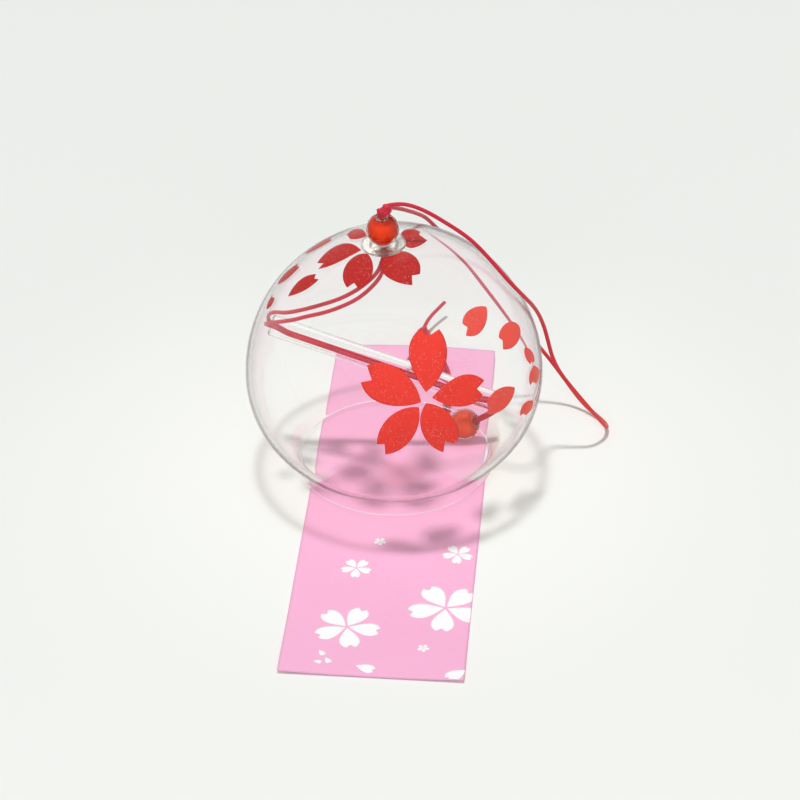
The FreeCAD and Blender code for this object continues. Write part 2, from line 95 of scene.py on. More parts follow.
def turn(name, description, degrees):
    return FloatProperty(name=name, description=description, default=math.radians(degrees),
                         subtype="ANGLE")


def tint(name, description, code):
    return FloatVectorProperty(name=name, description=description, default=colour(code)[:3],
                               subtype="COLOR", size=3, min=0, max=1)


# Settings

class GlobeSettings(PropertyGroup):
    dome_radius: length("Dome radius", "Outer radius of the upper half of the globe", 40.0)
    belly_radius: length("Belly radius", "Outer radius of the tighter curve under the dome", 29.0)
    mouth_radius: length("Mouth radius", "Outer radius of the open mouth", 27.2)
    dome_height: length("Dome height", "Height of the dome's centre over the mouth", 28.95)
    wall: length("Wall", "Thickness of the blown wall", 1.2)
    hole_radius: length("Crown hole", "Radius of the hole in the crown", 3.6)
    crown_lean: turn("Crown lean", "How far the crown hole sits off the globe's axis", 3.0)
    lip_lift: length("Lip lift", "How far the cord lifts one side of the lip", 1.3)
    lift_bearing: turn("Lift bearing", "Direction of the lifted side, from +X towards +Y", 61.0)
    waviness: length("Waviness", "How far the blown wall swells and thins", 0.14)
    body_tint: tint("Glass", "Colour of the glass itself", "#FFFFFF")
    edge_tint: tint("Glass edge", "Colour that a long way through the glass takes", "#D6A79A")


class CrownSettings(PropertyGroup):
    washer_radius: length("Washer radius", "Outer radius of the crown washer", 5.9)
    washer_thick: length("Washer thickness", "Height of the washer over the glass", 0.8)
    washer_bore: length("Washer bore", "Radius of the washer's hole", 1.5)
    collar_gap: length("Collar gap", "Play of the collar in the crown hole", 0.2)
    collar_drop: length("Collar drop", "How far the collar reaches into the hole", 0.9)
    seat_gap: length("Seat gap", "Gap under the washer and under the bead", 0.05)
    washer_tint: tint("Washer", "Colour of the clear plastic", "#DCDDD4")


class BeadSettings(PropertyGroup):
    radius: length("Bead radius", "Radius over the cut corners", 4.4)
    core_radius: length("Core radius", "Radius of the coloured ball inside", 2.8)
    bore: length("Bead bore", "Radius of the hole for the cord", 1.35)
    facets: IntProperty(name="Facets", description="Cut corners in each row", default=16, min=6)
    rows: IntProperty(name="Rows", description="Rows of cut corners, an even number", default=8, min=4)
    lower_side: length("Lower bead side", "Place of the lower bead along X", 18.2)
    lower_back: length("Lower bead back", "Place of the lower bead along Y", 11.5)
    lower_height: length("Lower bead height", "Height of the lower bead's centre", 4.85)
    lower_slope: turn("Lower bead slope", "Slope of the lower bead's bore", 25.0)
    shell_tint: tint("Shell", "Colour of the clear shell", "#FFF6F1")
    top_core: tint("Top core", "Colour of the upper bead's ball", "#FF4208")
    lower_core: tint("Lower core", "Colour of the lower bead's ball", "#FF5A2C")


class ClapperSettings(PropertyGroup):
    radius: length("Tube radius", "Outer radius of the clapper tube", 2.9)
    bore: length("Tube bore", "Radius of the tube's bore", 1.95)
    reach: length("Tube length", "Length of the clapper tube", 66.0)
    end_side: length("High end side", "Place of the high end along X", -34.6)
    end_back: length("High end back", "Place of the high end along Y", 8.1)
    end_height: length("High end height", "Height of the high end", 37.2)
    slope: turn("Slope", "How far the tube slopes down to the bead", 21.2)
    bearing: turn("Bearing", "Turn of the tube about the upright", 2.1)


class CordSettings(PropertyGroup):
    diameter: length("Cord diameter", "Thickness of the braided cord", 1.1)
    spacing: length("Strand spacing", "Distance between the doubled strands", 1.24)
    plait: length("Plait", "Length of one repeat of the braid", 1.0)
    top_knot: length("Top knot", "Radius of the knot over the bead", 1.8)
    stop_knot: length("Stop knot", "Radius of the knot under the crown", 1.9)
    strip_knot: length("Strip knot", "Radius of the knot at the paper strip", 2.3)
    # Painted shade: the braid's crevices between the yarns are painted this darker red
    painted_shade: tint("Cord shade", "Colour between the braid's yarns", "#A00E26")
    light: tint("Cord", "Colour of the yarns", "#E02440")
    # Painted light: the yarns are painted in this warmer colour out near the bright table
    warm: tint("Cord, warm", "Colour of the yarns near the table", "#F03A30")


class StripSettings(PropertyGroup):
    width: length("Strip width", "Width of the paper strip", 47.0)
    front: length("Strip front", "How far the strip reaches in front of the globe's centre", 94.7)
    back: length("Strip back", "Length of the strip behind the globe's centre", 53.3)
    flat: length("Strip flat", "Where the curl begins", 28.0)
    bend: length("Strip bend", "Radius of the curl", 170.0)
    thick: length("Strip thickness", "Thickness of the paper", 0.35)
    shift: length("Strip shift", "Sideways place of the strip", 1.7)
    hole: length("Punched hole", "Radius of the punched hole", 2.2)
    hole_inset: length("Hole inset", "Distance of the hole from the tied end", 6.7)
    corner_lift: length("Corner lift", "How far the front corners rise off the table", 0.7)
    paper: tint("Paper", "Colour of the coloured paper", "#F9B5D8")
    ink: tint("Strip ink", "Colour of the printed blossoms", "#FFFDFE")


class PrintSettings(PropertyGroup):
    film: length("Print thickness", "Thickness of the printed layer", 0.04)
    # One red enamel in three reds: the crown's and left petals' darker red is painted shade, the loose
    # right petals' paler red painted light
    front: tint("Front petals", "Colour of the front blossom", "#FF5D50")
    crown: tint("Crown petals", "Colour of the crown's blossom and the petals on the left", "#D23A36")
    loose: tint("Loose petals", "Colour of the scattered petals on the right", "#FF786A")
    fleck: tint("Fleck", "Colour of the glitter in the print", "#FFF1EC")


class StageSettings(PropertyGroup):
    distance: length("Camera distance", "From the camera to the globe's centre", 850.0)
    elevation: turn("Camera elevation", "Height angle of the camera", 34.35)
    bearing: turn("Camera bearing", "Turn of the camera from -Y towards +X", 4.78)
    lens: number("Lens", "Focal length in millimetres", 141.81)
    globe_height: length("Globe height", "Height of the globe's centre over the table", 29.87)
    globe_across: number("Globe across", "Pixel column of the globe's centre", 395.43)
    globe_down: number("Globe down", "Pixel row of the globe's centre", 368.8)
    floor: tint("Floor", "Colour of the table", "#F5F6F3")
    lamp_angle: turn("Lamp angle", "Angle that the overhead light fills", 5.4)
    lamp_strength: number("Lamp strength", "Overhead light in watts per square metre", 1.5)
    pool_power: watts("Pool power", "Power of the spot on the bell", 3.8)
    pool_angle: turn("Pool angle", "Cone of the spot on the bell", 14.0)
    window_power: watts("Window power", "Power of the window behind", 1.6)
    fill_power: watts("Fill power", "Power of the soft light from the camera's side", 7.6)
    sky: number("Sky", "Strength of the light from all round", 0.365)


class WindBellSettings(PropertyGroup):
    globe: PointerProperty(type=GlobeSettings)
    crown: PointerProperty(type=CrownSettings)
    bead: PointerProperty(type=BeadSettings)
    clapper: PointerProperty(type=ClapperSettings)
    cord: PointerProperty(type=CordSettings)
    strip: PointerProperty(type=StripSettings)
    prints: PointerProperty(type=PrintSettings)
    stage: PointerProperty(type=StageSettings)


# Places

def rotation(axis, angle):
    """Turn about an axis: the identity, plus the sine times the axis's cross matrix, plus one
    less the cosine times that matrix squared."""
    x, y, z = axis
    cross = np.array([[0, -z, y], [z, 0, -x], [-y, x, 0]], float)
    return np.eye(3) + math.sin(angle) * cross + (1 - math.cos(angle)) * cross @ cross


def put(points, place):
    """Points of a local frame in the model's frame."""
    return np.asarray(points, float) @ place[0].T + place[1]


def within(outer, inner):
    """The place of a frame that is given inside another."""
    return outer[0] @ inner[0], outer[0] @ inner[1] + outer[1]


def bell_place(kit):
    """The bell's frame: tilted about a level axis because the cord lies under its lip."""
    globe = kit.globe
    axis = (math.sin(globe.lift_bearing), -math.cos(globe.lift_bearing), 0)
    tilt = math.asin(globe.lip_lift / (2 * globe.mouth_radius))
    return rotation(axis, tilt), np.array([0, 0, kit.strip.thick + globe.lip_lift / 2])


def crown_place(kit):
    """The crown's frame: at the dome's centre, leaning with the crown hole."""
    lean = (rotation((0, 1, 0), -kit.globe.crown_lean), np.array([0, 0, kit.globe.dome_height]))
    return within(bell_place(kit), lean)


def crown_levels(kit):
    """Heights on the crown's axis from the dome's centre, each resting on the one before."""
    globe, crown, bead, cord = kit.globe, kit.crown, kit.bead, kit.cord
    seat = math.sqrt(globe.dome_radius ** 2 - globe.hole_radius ** 2) + crown.seat_gap
    half_bead = END_ROW_SHARE * bead.radius
    middle = seat + crown.washer_thick + crown.seat_gap + half_bead
    top_knot = middle + half_bead + PLAY + cord.top_knot
    stop_knot = seat - crown.collar_drop - PLAY - cord.stop_knot
    return {"seat": seat, "bead": middle, "top_knot": top_knot, "stop_knot": stop_knot}


def lower_bead_place(kit):
    """The lower bead's frame: +Z runs along its bore, up to the right."""
    bead = kit.bead
    centre = np.array([bead.lower_side, bead.lower_back, bead.lower_height])
    return rotation((0, 1, 0), math.pi / 2 - bead.lower_slope), centre


def tube_place(kit):
    """The clapper tube's frame: +Z runs from the high end to the low end, +X points down."""
    tube = kit.clapper
    turned = rotation((0, 0, 1), tube.bearing) @ rotation((0, 1, 0), math.pi / 2 + tube.slope)
    return turned, np.array([tube.end_side, tube.end_back, tube.end_height])


def camera_frame(kit):
    """The camera's eye, and its right, up and forward directions. The eye is moved sideways so
    that the globe's centre falls on its pixel."""
    stage = kit.stage
    spin = rotation((0, 0, 1), stage.bearing)
    low, high = math.sin(stage.elevation), math.cos(stage.elevation)
    right, up, forward = spin @ (1, 0, 0), spin @ (0, low, high), spin @ (0, high, -low)
    pixel = stage.distance * SENSOR / (PICTURE * stage.lens)
    eye = (np.array([0, 0, stage.globe_height]) - stage.distance * forward
           - (stage.globe_across - PICTURE / 2) * pixel * right
           + (stage.globe_down - PICTURE / 2) * pixel * up)
    return eye, right, up, forward


def sight(kit, pixels):
    """Unit rays through pixels: forward, plus the offsets from the picture's middle over the
    focal length in pixels."""
    eye, right, up, forward = camera_frame(kit)
    offsets = (np.asarray(pixels, float) - PICTURE / 2) * SENSOR / (PICTURE * kit.stage.lens)
    rays = forward + offsets[..., :1] * right - offsets[..., 1:] * up
    return eye, rays / np.linalg.norm(rays, axis=-1, keepdims=True)


def smooth(value):
    """Zero below 0, one above 1, and between them three times the square less twice the cube."""
    value = np.clip(value, 0, 1)
    return value * value * (3 - 2 * value)


# Meshes

def grid_faces(rows, columns, close_rows=False, close_columns=False):
    """Four corners of each cell of a grid, row by row, as unwrapped (row, column) pairs."""
    i, j = np.meshgrid(np.arange(rows - (not close_rows)), np.arange(columns - (not close_columns)),
                       indexing="ij")
    corners = np.stack([np.stack([i, j], -1), np.stack([i, j + 1], -1),
                        np.stack([i + 1, j + 1], -1), np.stack([i + 1, j], -1)], 2)
    return corners.reshape(-1, 4, 2)


def make_piece(name, points, faces, material, body, replaces=(), uv=None, towards=None,
               shade_smooth=True, film=0.0):
    """Put vertices and faces into a mesh object that rides on a body, if one is given. A closed
    shell whose signed volume is negative, or a sheet that faces away from a direction, is turned
    over. Corners that meet in a pole are merged."""
    points, faces = np.asarray(points, float).reshape(-1, 3), np.asarray(faces)
    a, b, c = (points[faces[:, k]] for k in (0, 1, 2))
    if towards is None:
        d = points[faces[:, -1]]
        side = np.sum(a * np.cross(b, c)) + (np.sum(a * np.cross(c, d)) if faces.shape[1] == 4 else 0)
    else:
        side = np.sum(np.cross(b - a, c - a) @ np.asarray(towards, float))
    if side < 0:
        faces = faces[:, ::-1]
        uv = None if uv is None else uv[:, ::-1]
    mesh = bpy.data.meshes.new(name)
    mesh.from_pydata(points.tolist(), [], faces.tolist())
    if uv is not None:
        layer = mesh.uv_layers.new(name="UVMap")
        layer.data.foreach_set("uv", np.ascontiguousarray(uv, np.float32).ravel())
    shell = bmesh.new()
    shell.from_mesh(mesh)
    bmesh.ops.remove_doubles(shell, verts=shell.verts, dist=1e-7)
    bmesh.ops.dissolve_degenerate(shell, edges=shell.edges, dist=1e-7)
    shell.to_mesh(mesh)
    shell.free()
    mesh.polygons.foreach_set("use_smooth", np.full(len(mesh.polygons), shade_smooth))
    mesh.materials.append(material)
    piece = bpy.data.objects.new(name, mesh)
    bpy.context.scene.collection.objects.link(piece)
    if film:
        skin = piece.modifiers.new("Thickness", "SOLIDIFY")
        skin.thickness, skin.offset = abs(film), math.copysign(1, film)
    if body:
        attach(piece, body)
    if replaces:
        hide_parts(*replaces)
    return piece


def circle(steps):
    """Even turns round a circle."""
    return np.arange(steps) * 2 * math.pi / steps


def around(radius, turns, height):
    """Points round the upright axis: the radius times the turn's cosine and sine, and the height."""
    return np.stack(np.broadcast_arrays(radius * np.cos(turns), radius * np.sin(turns), height), -1)


def turned_shell(outline, steps, place):
    """An outline (radius, height) turned about the upright axis. Returns the points and the closed
    grid's faces."""
    radius, height = np.asarray(outline, float).T[..., None]
    points = around(radius, circle(steps), height)
    return put(points, place), wrapped(grid_faces(len(radius), steps, True, True), len(radius), steps)


def wrapped(corners, rows, columns):
    """Vertex numbers of grid corners, with the last row and column joined to the first."""
    return (corners[..., 0] % rows) * columns + corners[..., 1] % columns


def rounded_outline(corners, radius, steps=5):
    """A closed outline with each corner replaced by a curve from one side to the other: the
    quadratic blend of the side's point, the corner and the next side's point."""
    corners = np.asarray(corners, float)
    before, after = np.roll(corners, 1, 0) - corners, np.roll(corners, -1, 0) - corners
    start = corners + before / np.linalg.norm(before, axis=1, keepdims=True) * radius
    end = corners + after / np.linalg.norm(after, axis=1, keepdims=True) * radius
    t = np.linspace(0, 1, steps)[None, :, None]
    curve = (1 - t) ** 2 * start[:, None] + 2 * t * (1 - t) * corners[:, None] + t ** 2 * end[:, None]
    return curve.reshape(-1, 2)


# Materials

def new_material(name):
    """An empty node material: itself, its tree, its output and its texture coordinates."""
    material = bpy.data.materials.new(name)
    material.use_nodes = True
    tree = material.node_tree
    tree.nodes.clear()
    kinds = ("ShaderNodeOutputMaterial", "ShaderNodeTexCoord")
    return material, tree, *(add_node(tree, kind) for kind in kinds)


def add_node(tree, kind, values=None, links=None, **settings):
    """Add one node: its own settings, the values of its input sockets, and the outputs that are
    linked to them. A socket is given by its name, or by its number where names repeat."""
    node = tree.nodes.new(kind)
    for key, value in settings.items():
        setattr(node, key, value)
    for socket, value in (values or {}).items():
        node.inputs[socket].default_value = value
    for socket, source in (links or {}).items():
        tree.links.new(source, node.inputs[socket])
    return node


def rgba(value):
    """A setting's colour as a node takes it."""
    return (*value, 1.0)


def scaled_colour(body, *shares):
    """A colour with all its channels scaled by one share, or each by its own."""
    return (*(np.array(body[:3]) * shares).tolist(), 1.0)


def cells(millimetres):
    """The scale of a noise or a mosaic whose cells have that size."""
    return 1 / (millimetres * MM)


def rim_share(tree, power):
    """How far a surface turns from the eye, from 0 face on to 1 at its rim, to a power."""
    graze = add_node(tree, "ShaderNodeLayerWeight", {"Blend": 0.5})
    rim = add_node(tree, "ShaderNodeMath", {1: power}, {0: graze.outputs["Facing"]}, operation="POWER")
    return rim.outputs[0]


def mottled(tree, body, share, amount):
    """A colour that a pattern takes towards the same colour scaled by a share."""
    shade = add_node(tree, "ShaderNodeMix", {6: body, 7: scaled_colour(body, share)}, {0: amount},
                     data_type="RGBA")
    return shade.outputs[2]


def lit_through(tree, output, clear, centre, edge):
    """Finish a clear material: rays that only carry light pass straight through it, less of them
    where they graze the surface, so that what is inside stays lit and the shell casts a rim of
    shadow."""
    path = add_node(tree, "ShaderNodeLightPath")
    light = add_node(tree, "ShaderNodeMath", operation="MAXIMUM", links={
        0: path.outputs["Is Shadow Ray"], 1: path.outputs["Is Diffuse Ray"]})
    rim = rim_share(tree, 7.0)
    shade = add_node(tree, "ShaderNodeMix", {6: centre, 7: edge}, {0: rim}, data_type="RGBA")
    straight = add_node(tree, "ShaderNodeBsdfTransparent", links={"Color": shade.outputs[2]})
    mixed = add_node(tree, "ShaderNodeMixShader", links={
        0: light.outputs[0], 1: clear, 2: straight.outputs[0]})
    tree.links.new(mixed.outputs[0], output.inputs["Surface"])


def glass_material(globe, name, pale_rim):
    """Soda-lime glass, blown and fire polished. It gives the eye a wall that is clear face on and
    takes a faint warm grey where one looks along it, with sharp reflections that waver. The pale
    rim is the share of plain white room that shows at the very edge."""
    material, tree, output, place = new_material(name)
    # Draw marks of the blowing, about 18 mm apart and very shallow
    marks = add_node(tree, "ShaderNodeTexNoise", {"Scale": cells(18.18), "Detail": 1.5},
                     {"Vector": place.outputs["Object"]})
    bump = add_node(tree, "ShaderNodeBump", {"Strength": 0.06, "Distance": 0.0004},
                    {"Height": marks.outputs["Fac"]})
    clear = add_node(tree, "ShaderNodeBsdfPrincipled", {
        "Base Color": rgba(globe.body_tint), "Roughness": 0.0, "IOR": 1.5,
        "Transmission Weight": 1.0, "Specular Tint": (0.35, 0.35, 0.35, 1.0)},
        {"Normal": bump.outputs[0]})
    # A wall seen edge on is 20 mm of glass, which takes about a tenth of the light
    depth = add_node(tree, "ShaderNodeVolumeAbsorption", {"Color": rgba(globe.edge_tint), "Density": 9.0})
    tree.links.new(depth.outputs[0], output.inputs["Volume"])
    rim = rim_share(tree, 6.0)
    share = add_node(tree, "ShaderNodeMath", {1: pale_rim}, {0: rim}, operation="MULTIPLY")
    pale = add_node(tree, "ShaderNodeBsdfTransparent", {"Color": colour("#F7F1EF")})
    wall = add_node(tree, "ShaderNodeMixShader",
                    links={0: share.outputs[0], 1: clear.outputs[0], 2: pale.outputs[0]})
    lit_through(tree, output, wall.outputs[0], colour("#FFFFFE"), colour("#8E827C"))
    return material


def acrylic_material(name, body, roughness, ripple):
    """Clear acrylic, moulded or cut. It gives the eye a bright, slightly soft clear body with the
    small dents and specks of a moulding."""
    material, tree, output, place = new_material(name)
    dents = add_node(tree, "ShaderNodeTexNoise", {"Scale": cells(1.111), "Detail": 2.0},
                     {"Vector": place.outputs["Object"]})
    bump = add_node(tree, "ShaderNodeBump", {"Strength": ripple, "Distance": 0.0002},
                    {"Height": dents.outputs["Fac"]})
    clear = add_node(tree, "ShaderNodeBsdfPrincipled", {
        "Base Color": body, "Roughness": roughness, "IOR": 1.49, "Transmission Weight": 1.0,
        "Specular Tint": (0.5, 0.5, 0.5, 1.0)},
        {"Normal": bump.outputs[0]})
    lit_through(tree, output, clear.outputs[0], colour("#FBF3EF"), colour("#9C8A84"))
    return material


def core_material(name, body, bore):
    """Pigmented acrylic ball, moulded. It gives the eye a saturated orange with faint swirls of the
    pigment, a faint painted glow all over, and painted shade at its rim and round its bore's ends."""
    material, tree, output, place = new_material(name)
    swirl = add_node(tree, "ShaderNodeTexNoise", {"Scale": cells(2.5), "Detail": 2.0, "Distortion": 1.5},
                     {"Vector": place.outputs["Object"]})
    deep = scaled_colour(body, 0.72)
    shade = add_node(tree, "ShaderNodeMix", {6: deep, 7: body}, {0: swirl.outputs["Fac"]},
                     data_type="RGBA")
    # Painted shade: the ball darkens towards its rim, standing in for the shell bending the view so that
    # its far sides show dark
    rim = rim_share(tree, 1.2)
    painted_shade = scaled_colour(body, 0.42, 0.15, 0.5)
    turned = add_node(tree, "ShaderNodeMix", {7: painted_shade}, {0: rim, 6: shade.outputs[2]}, data_type="RGBA")
    # Painted shade: the ball darkens round its bore's ends, where the cord and the knot shade it
    facing = add_node(tree, "ShaderNodeVectorMath", {1: bore}, {0: place.outputs["Normal"]},
                      operation="DOT_PRODUCT")
    ends = add_node(tree, "ShaderNodeMath", links={0: facing.outputs["Value"]}, operation="ABSOLUTE")
    near = add_node(tree, "ShaderNodeMapRange", {1: 0.55, 2: 0.95}, {0: ends.outputs[0]})
    bore_shaded = add_node(tree, "ShaderNodeMix", {7: painted_shade}, {0: near.outputs[0], 6: turned.outputs[2]},
                    data_type="RGBA")
    # A faint emission of the body colour is a painted glow
    paint = add_node(tree, "ShaderNodeBsdfPrincipled", {
        "Roughness": 0.5, "Specular IOR Level": 0.0, "Emission Color": body, "Emission Strength": 0.06},
        {"Base Color": bore_shaded.outputs[2]})
    tree.links.new(paint.outputs[0], output.inputs["Surface"])
    return material


def cord_material(cord):
    """Polyester cord, braided from eight fine yarns. It gives the eye a soft crimson line with a
    herringbone of yarns, painted shade in the crossings and painted light where the table lights it."""
    material, tree, output, place = new_material("braided_polyester_cord")
    uv = add_node(tree, "ShaderNodeUVMap", uv_map="UVMap")
    axes = add_node(tree, "ShaderNodeSeparateXYZ", links={0: uv.outputs[0]})
    # The braid repeats each millimetre along the cord, and four yarns run each way round it
    along = add_node(tree, "ShaderNodeMath", {1: 2 * math.pi / cord.plait}, {0: axes.outputs[0]},
                     operation="MULTIPLY")
    around = add_node(tree, "ShaderNodeMath", {1: 8 * math.pi}, {0: axes.outputs[1]},
                      operation="MULTIPLY")
    yarns = []
    for lay in ("ADD", "SUBTRACT"):
        slant = add_node(tree, "ShaderNodeMath", links={0: along.outputs[0], 1: around.outputs[0]},
                         operation=lay)
        yarns.append(add_node(tree, "ShaderNodeMath", links={0: slant.outputs[0]}, operation="SINE"))
    braid = add_node(tree, "ShaderNodeMath", links={0: yarns[0].outputs[0], 1: yarns[1].outputs[0]},
                     operation="MAXIMUM")
    height = add_node(tree, "ShaderNodeMapRange", {1: -0.3, 2: 1.0}, {0: braid.outputs[0]})
    split = add_node(tree, "ShaderNodeSeparateXYZ", links={0: place.outputs["Object"]})
    # Painted light: the yarns turn warmer from 28 to 56 mm out along X, as the loop's far end lies
    # 58 mm from the globe, on the bright table
    outward = add_node(tree, "ShaderNodeMapRange", {1: 0.028, 2: 0.056}, {0: split.outputs[0]})
    yarn = add_node(tree, "ShaderNodeMix", {6: rgba(cord.light), 7: rgba(cord.warm)},
                    {0: outward.outputs[0]}, data_type="RGBA")
    fuzz = add_node(tree, "ShaderNodeTexNoise", {"Scale": cells(0.5556), "Detail": 2.0},
                    {"Vector": place.outputs["Object"]})
    worn = add_node(tree, "ShaderNodeMath", {1: 0.35}, {0: fuzz.outputs["Fac"]}, operation="MULTIPLY")
    lift = add_node(tree, "ShaderNodeMath", links={0: height.outputs[0], 1: worn.outputs[0]},
                    operation="ADD", use_clamp=True)
    # Painted shade: the yarns darken into the crevices between them, broken by a random fuzz
    shade = add_node(tree, "ShaderNodeMix", {6: rgba(cord.painted_shade)},
                     {0: lift.outputs[0], 7: yarn.outputs[2]}, data_type="RGBA")
    bump = add_node(tree, "ShaderNodeBump", {"Strength": 0.7, "Distance": 0.00012},
                    {"Height": height.outputs[0]})
    cloth = add_node(tree, "ShaderNodeBsdfPrincipled", {
        "Roughness": 0.62, "Sheen Weight": 0.25, "Sheen Roughness": 0.4},
        {"Base Color": shade.outputs[2], "Normal": bump.outputs[0]})
    tree.links.new(cloth.outputs[0], output.inputs["Surface"])
    return material


def petal_material(name, body, fleck, glow):
    """Red enamel with glitter, screen printed on the glass. It gives the eye a flat red film that
    lets some light through, sprinkled with pale flecks."""
    material, tree, output, place = new_material(name)
    # Glitter grains, drawn 0.4 mm apart because the real 0.1 mm ones are too fine to show
    grains = add_node(tree, "ShaderNodeTexVoronoi", {"Scale": cells(0.3846)},
                      {"Vector": place.outputs["Object"]})
    near = add_node(tree, "ShaderNodeMapRange", {1: 0.30, 2: 0.16}, {0: grains.outputs["Distance"]})
    draw = add_node(tree, "ShaderNodeSeparateColor", links={0: grains.outputs["Color"]})
    some = add_node(tree, "ShaderNodeMath", {1: 0.62}, {0: draw.outputs[0]}, operation="GREATER_THAN")
    drift = add_node(tree, "ShaderNodeTexNoise", {"Scale": cells(8.333), "Detail": 2.0},
                     {"Vector": place.outputs["Object"]})
    patch = add_node(tree, "ShaderNodeMapRange", {1: 0.35, 2: 0.65}, {0: drift.outputs["Fac"]})
    shown = add_node(tree, "ShaderNodeMath", links={0: near.outputs[0], 1: some.outputs[0]},
                     operation="MULTIPLY")
    fleck_share = add_node(tree, "ShaderNodeMath", links={0: shown.outputs[0], 1: patch.outputs[0]},
                           operation="MULTIPLY")
    film = mottled(tree, body, 0.86, drift.outputs["Fac"])
    shade = add_node(tree, "ShaderNodeMix", {7: fleck}, {0: fleck_share.outputs[0], 6: film},
                     data_type="RGBA")
    enamel = add_node(tree, "ShaderNodeBsdfPrincipled", {"Roughness": 0.38, "Specular IOR Level": 0.12},
                      {"Base Color": shade.outputs[2]})
    behind = add_node(tree, "ShaderNodeBsdfTranslucent", links={"Color": shade.outputs[2]})
    body_mix = add_node(tree, "ShaderNodeMixShader", {0: glow},
                        {1: enamel.outputs[0], 2: behind.outputs[0]})
    through = add_node(tree, "ShaderNodeBsdfTransparent", {"Color": colour("#FF8A80")})
    shown_mix = add_node(tree, "ShaderNodeMixShader", {0: 0.10},
                         {1: body_mix.outputs[0], 2: through.outputs[0]})
    # At a grazing look the glossy enamel mirrors the white room
    rim = rim_share(tree, 9.0)
    gloss = add_node(tree, "ShaderNodeBsdfGlossy", {"Color": colour("#F2E9E8"), "Roughness": 0.25})
    edge = add_node(tree, "ShaderNodeMixShader",
                    links={0: rim, 1: shown_mix.outputs[0], 2: gloss.outputs[0]})
    tree.links.new(edge.outputs[0], output.inputs["Surface"])
    return material


def paper_material(strip):
    """Coated card, coloured through and matt. It gives the eye an even pink with a hint of fibre
    and a soft sheen."""
    material, tree, output, place = new_material("coated_pink_card")
    stretch = add_node(tree, "ShaderNodeMapping", {"Scale": (1.0, 0.35, 1.0)},
                       {0: place.outputs["Object"]})
    # Fibres about 0.7 mm wide and 2 mm long
    fibre = add_node(tree, "ShaderNodeTexNoise", {"Scale": cells(0.6667), "Detail": 3.0},
                     {"Vector": stretch.outputs[0]})
    cloud = add_node(tree, "ShaderNodeTexNoise", {"Scale": cells(16.67), "Detail": 2.0},
                     {"Vector": place.outputs["Object"]})
    both = add_node(tree, "ShaderNodeMath", links={0: fibre.outputs["Fac"], 1: cloud.outputs["Fac"]},
                    operation="MULTIPLY")
    shade = mottled(tree, rgba(strip.paper), 0.93, both.outputs[0])
    bump = add_node(tree, "ShaderNodeBump", {"Strength": 0.12, "Distance": 0.00004},
                    {"Height": fibre.outputs["Fac"]})
    card = add_node(tree, "ShaderNodeBsdfPrincipled", {"Roughness": 0.6, "Specular IOR Level": 0.3},
                    {"Base Color": shade, "Normal": bump.outputs[0]})
    tree.links.new(card.outputs[0], output.inputs["Surface"])
    return material


def ink_material(strip):
    """White screen ink on the card. It gives the eye a clean, faintly chalky white."""
    material, tree, output, place = new_material("white_screen_ink")
    chalk = add_node(tree, "ShaderNodeTexNoise", {"Scale": cells(0.8333), "Detail": 2.0},
                     {"Vector": place.outputs["Object"]})
    shade = mottled(tree, rgba(strip.ink), 0.95, chalk.outputs["Fac"])
    ink = add_node(tree, "ShaderNodeBsdfPrincipled", {"Roughness": 0.7, "Specular IOR Level": 0.25},
                   {"Base Color": shade})
    tree.links.new(ink.outputs[0], output.inputs["Surface"])
    return material


# Glass and plastic

def blown_wave(turns, height, phase):
    """The swell of a hand-blown wall, from -1 to 1: sines of two, three and five times round,
    each drifting with the height."""
    return (0.5 * np.sin(2 * turns + 0.8 + 70 * height + phase)
            + 0.3 * np.sin(3 * turns - 1.9 - 110 * height + 2 * phase)
            + 0.2 * np.sin(5 * turns + 0.3 + 160 * height - phase))


def blown_share(globe, radius, height):
    """Where the wall may swell: nothing at the lip and at the crown hole."""
    polar = np.arctan2(radius, height - globe.dome_height)
    return smooth((height - 2 * MM) / (9 * MM)) * smooth((polar - 0.2) / 0.3)


def wall_outline(globe):
    """The wall's closed outline (radius, height), how each point moves when the wall swells, and
    which side it is on. It runs down the outside along the dome's, the belly's and the waist's
    arc, round the lip, up the inside at the wall's distance, and round the hole's edge."""
    big, belly, mouth = globe.dome_radius, globe.belly_radius, globe.mouth_radius
    rise, wall = globe.dome_height, globe.wall
    neck = ((mouth - big + belly) ** 2 + rise ** 2 - belly ** 2) / (2 * (big - mouth))
    throat = math.atan2(rise, mouth + neck - big + belly)
    dome = np.linspace(math.asin((globe.hole_radius + wall / 4) / big), math.pi / 2, 64)
    lower = np.linspace(0, throat, 26)[1:]
    waist = np.linspace(throat, math.asin(wall / 2 / neck), 14)[1:]
    radius = np.concatenate([big * np.sin(dome), big - belly + belly * np.cos(lower),
                             mouth + neck - neck * np.cos(waist)])
    height = np.concatenate([rise + big * np.cos(dome), rise - belly * np.sin(lower),
                             neck * np.sin(waist)])
    out = np.stack([np.concatenate([np.sin(dome), np.cos(lower), np.cos(waist)]),
                    np.concatenate([np.cos(dome), -np.sin(lower), -np.sin(waist)])], -1)
    outside = np.stack([radius, height], -1)
    inside = outside - wall * out
    t = np.linspace(0, math.pi, 11)[1:-1, None]
    last, first = out[-1], out[0]
    lip = (outside[-1] - wall / 2 * last
           + wall / 2 * (np.cos(t) * last + np.sin(t) * np.array([last[1], -last[0]])))
    edge = (outside[0] - wall / 2 * first - wall / 2 * np.cos(t) * first
            + wall / 4 * np.sin(t) * np.array([-first[1], first[0]]))
    still = np.zeros((len(t), 2))
    return (np.concatenate([outside, lip, inside[::-1], edge]),
            np.concatenate([out, still, -out[::-1], still]),
            np.concatenate([np.zeros(len(out)), np.zeros(len(t)), np.ones(len(out)), np.zeros(len(t))]))


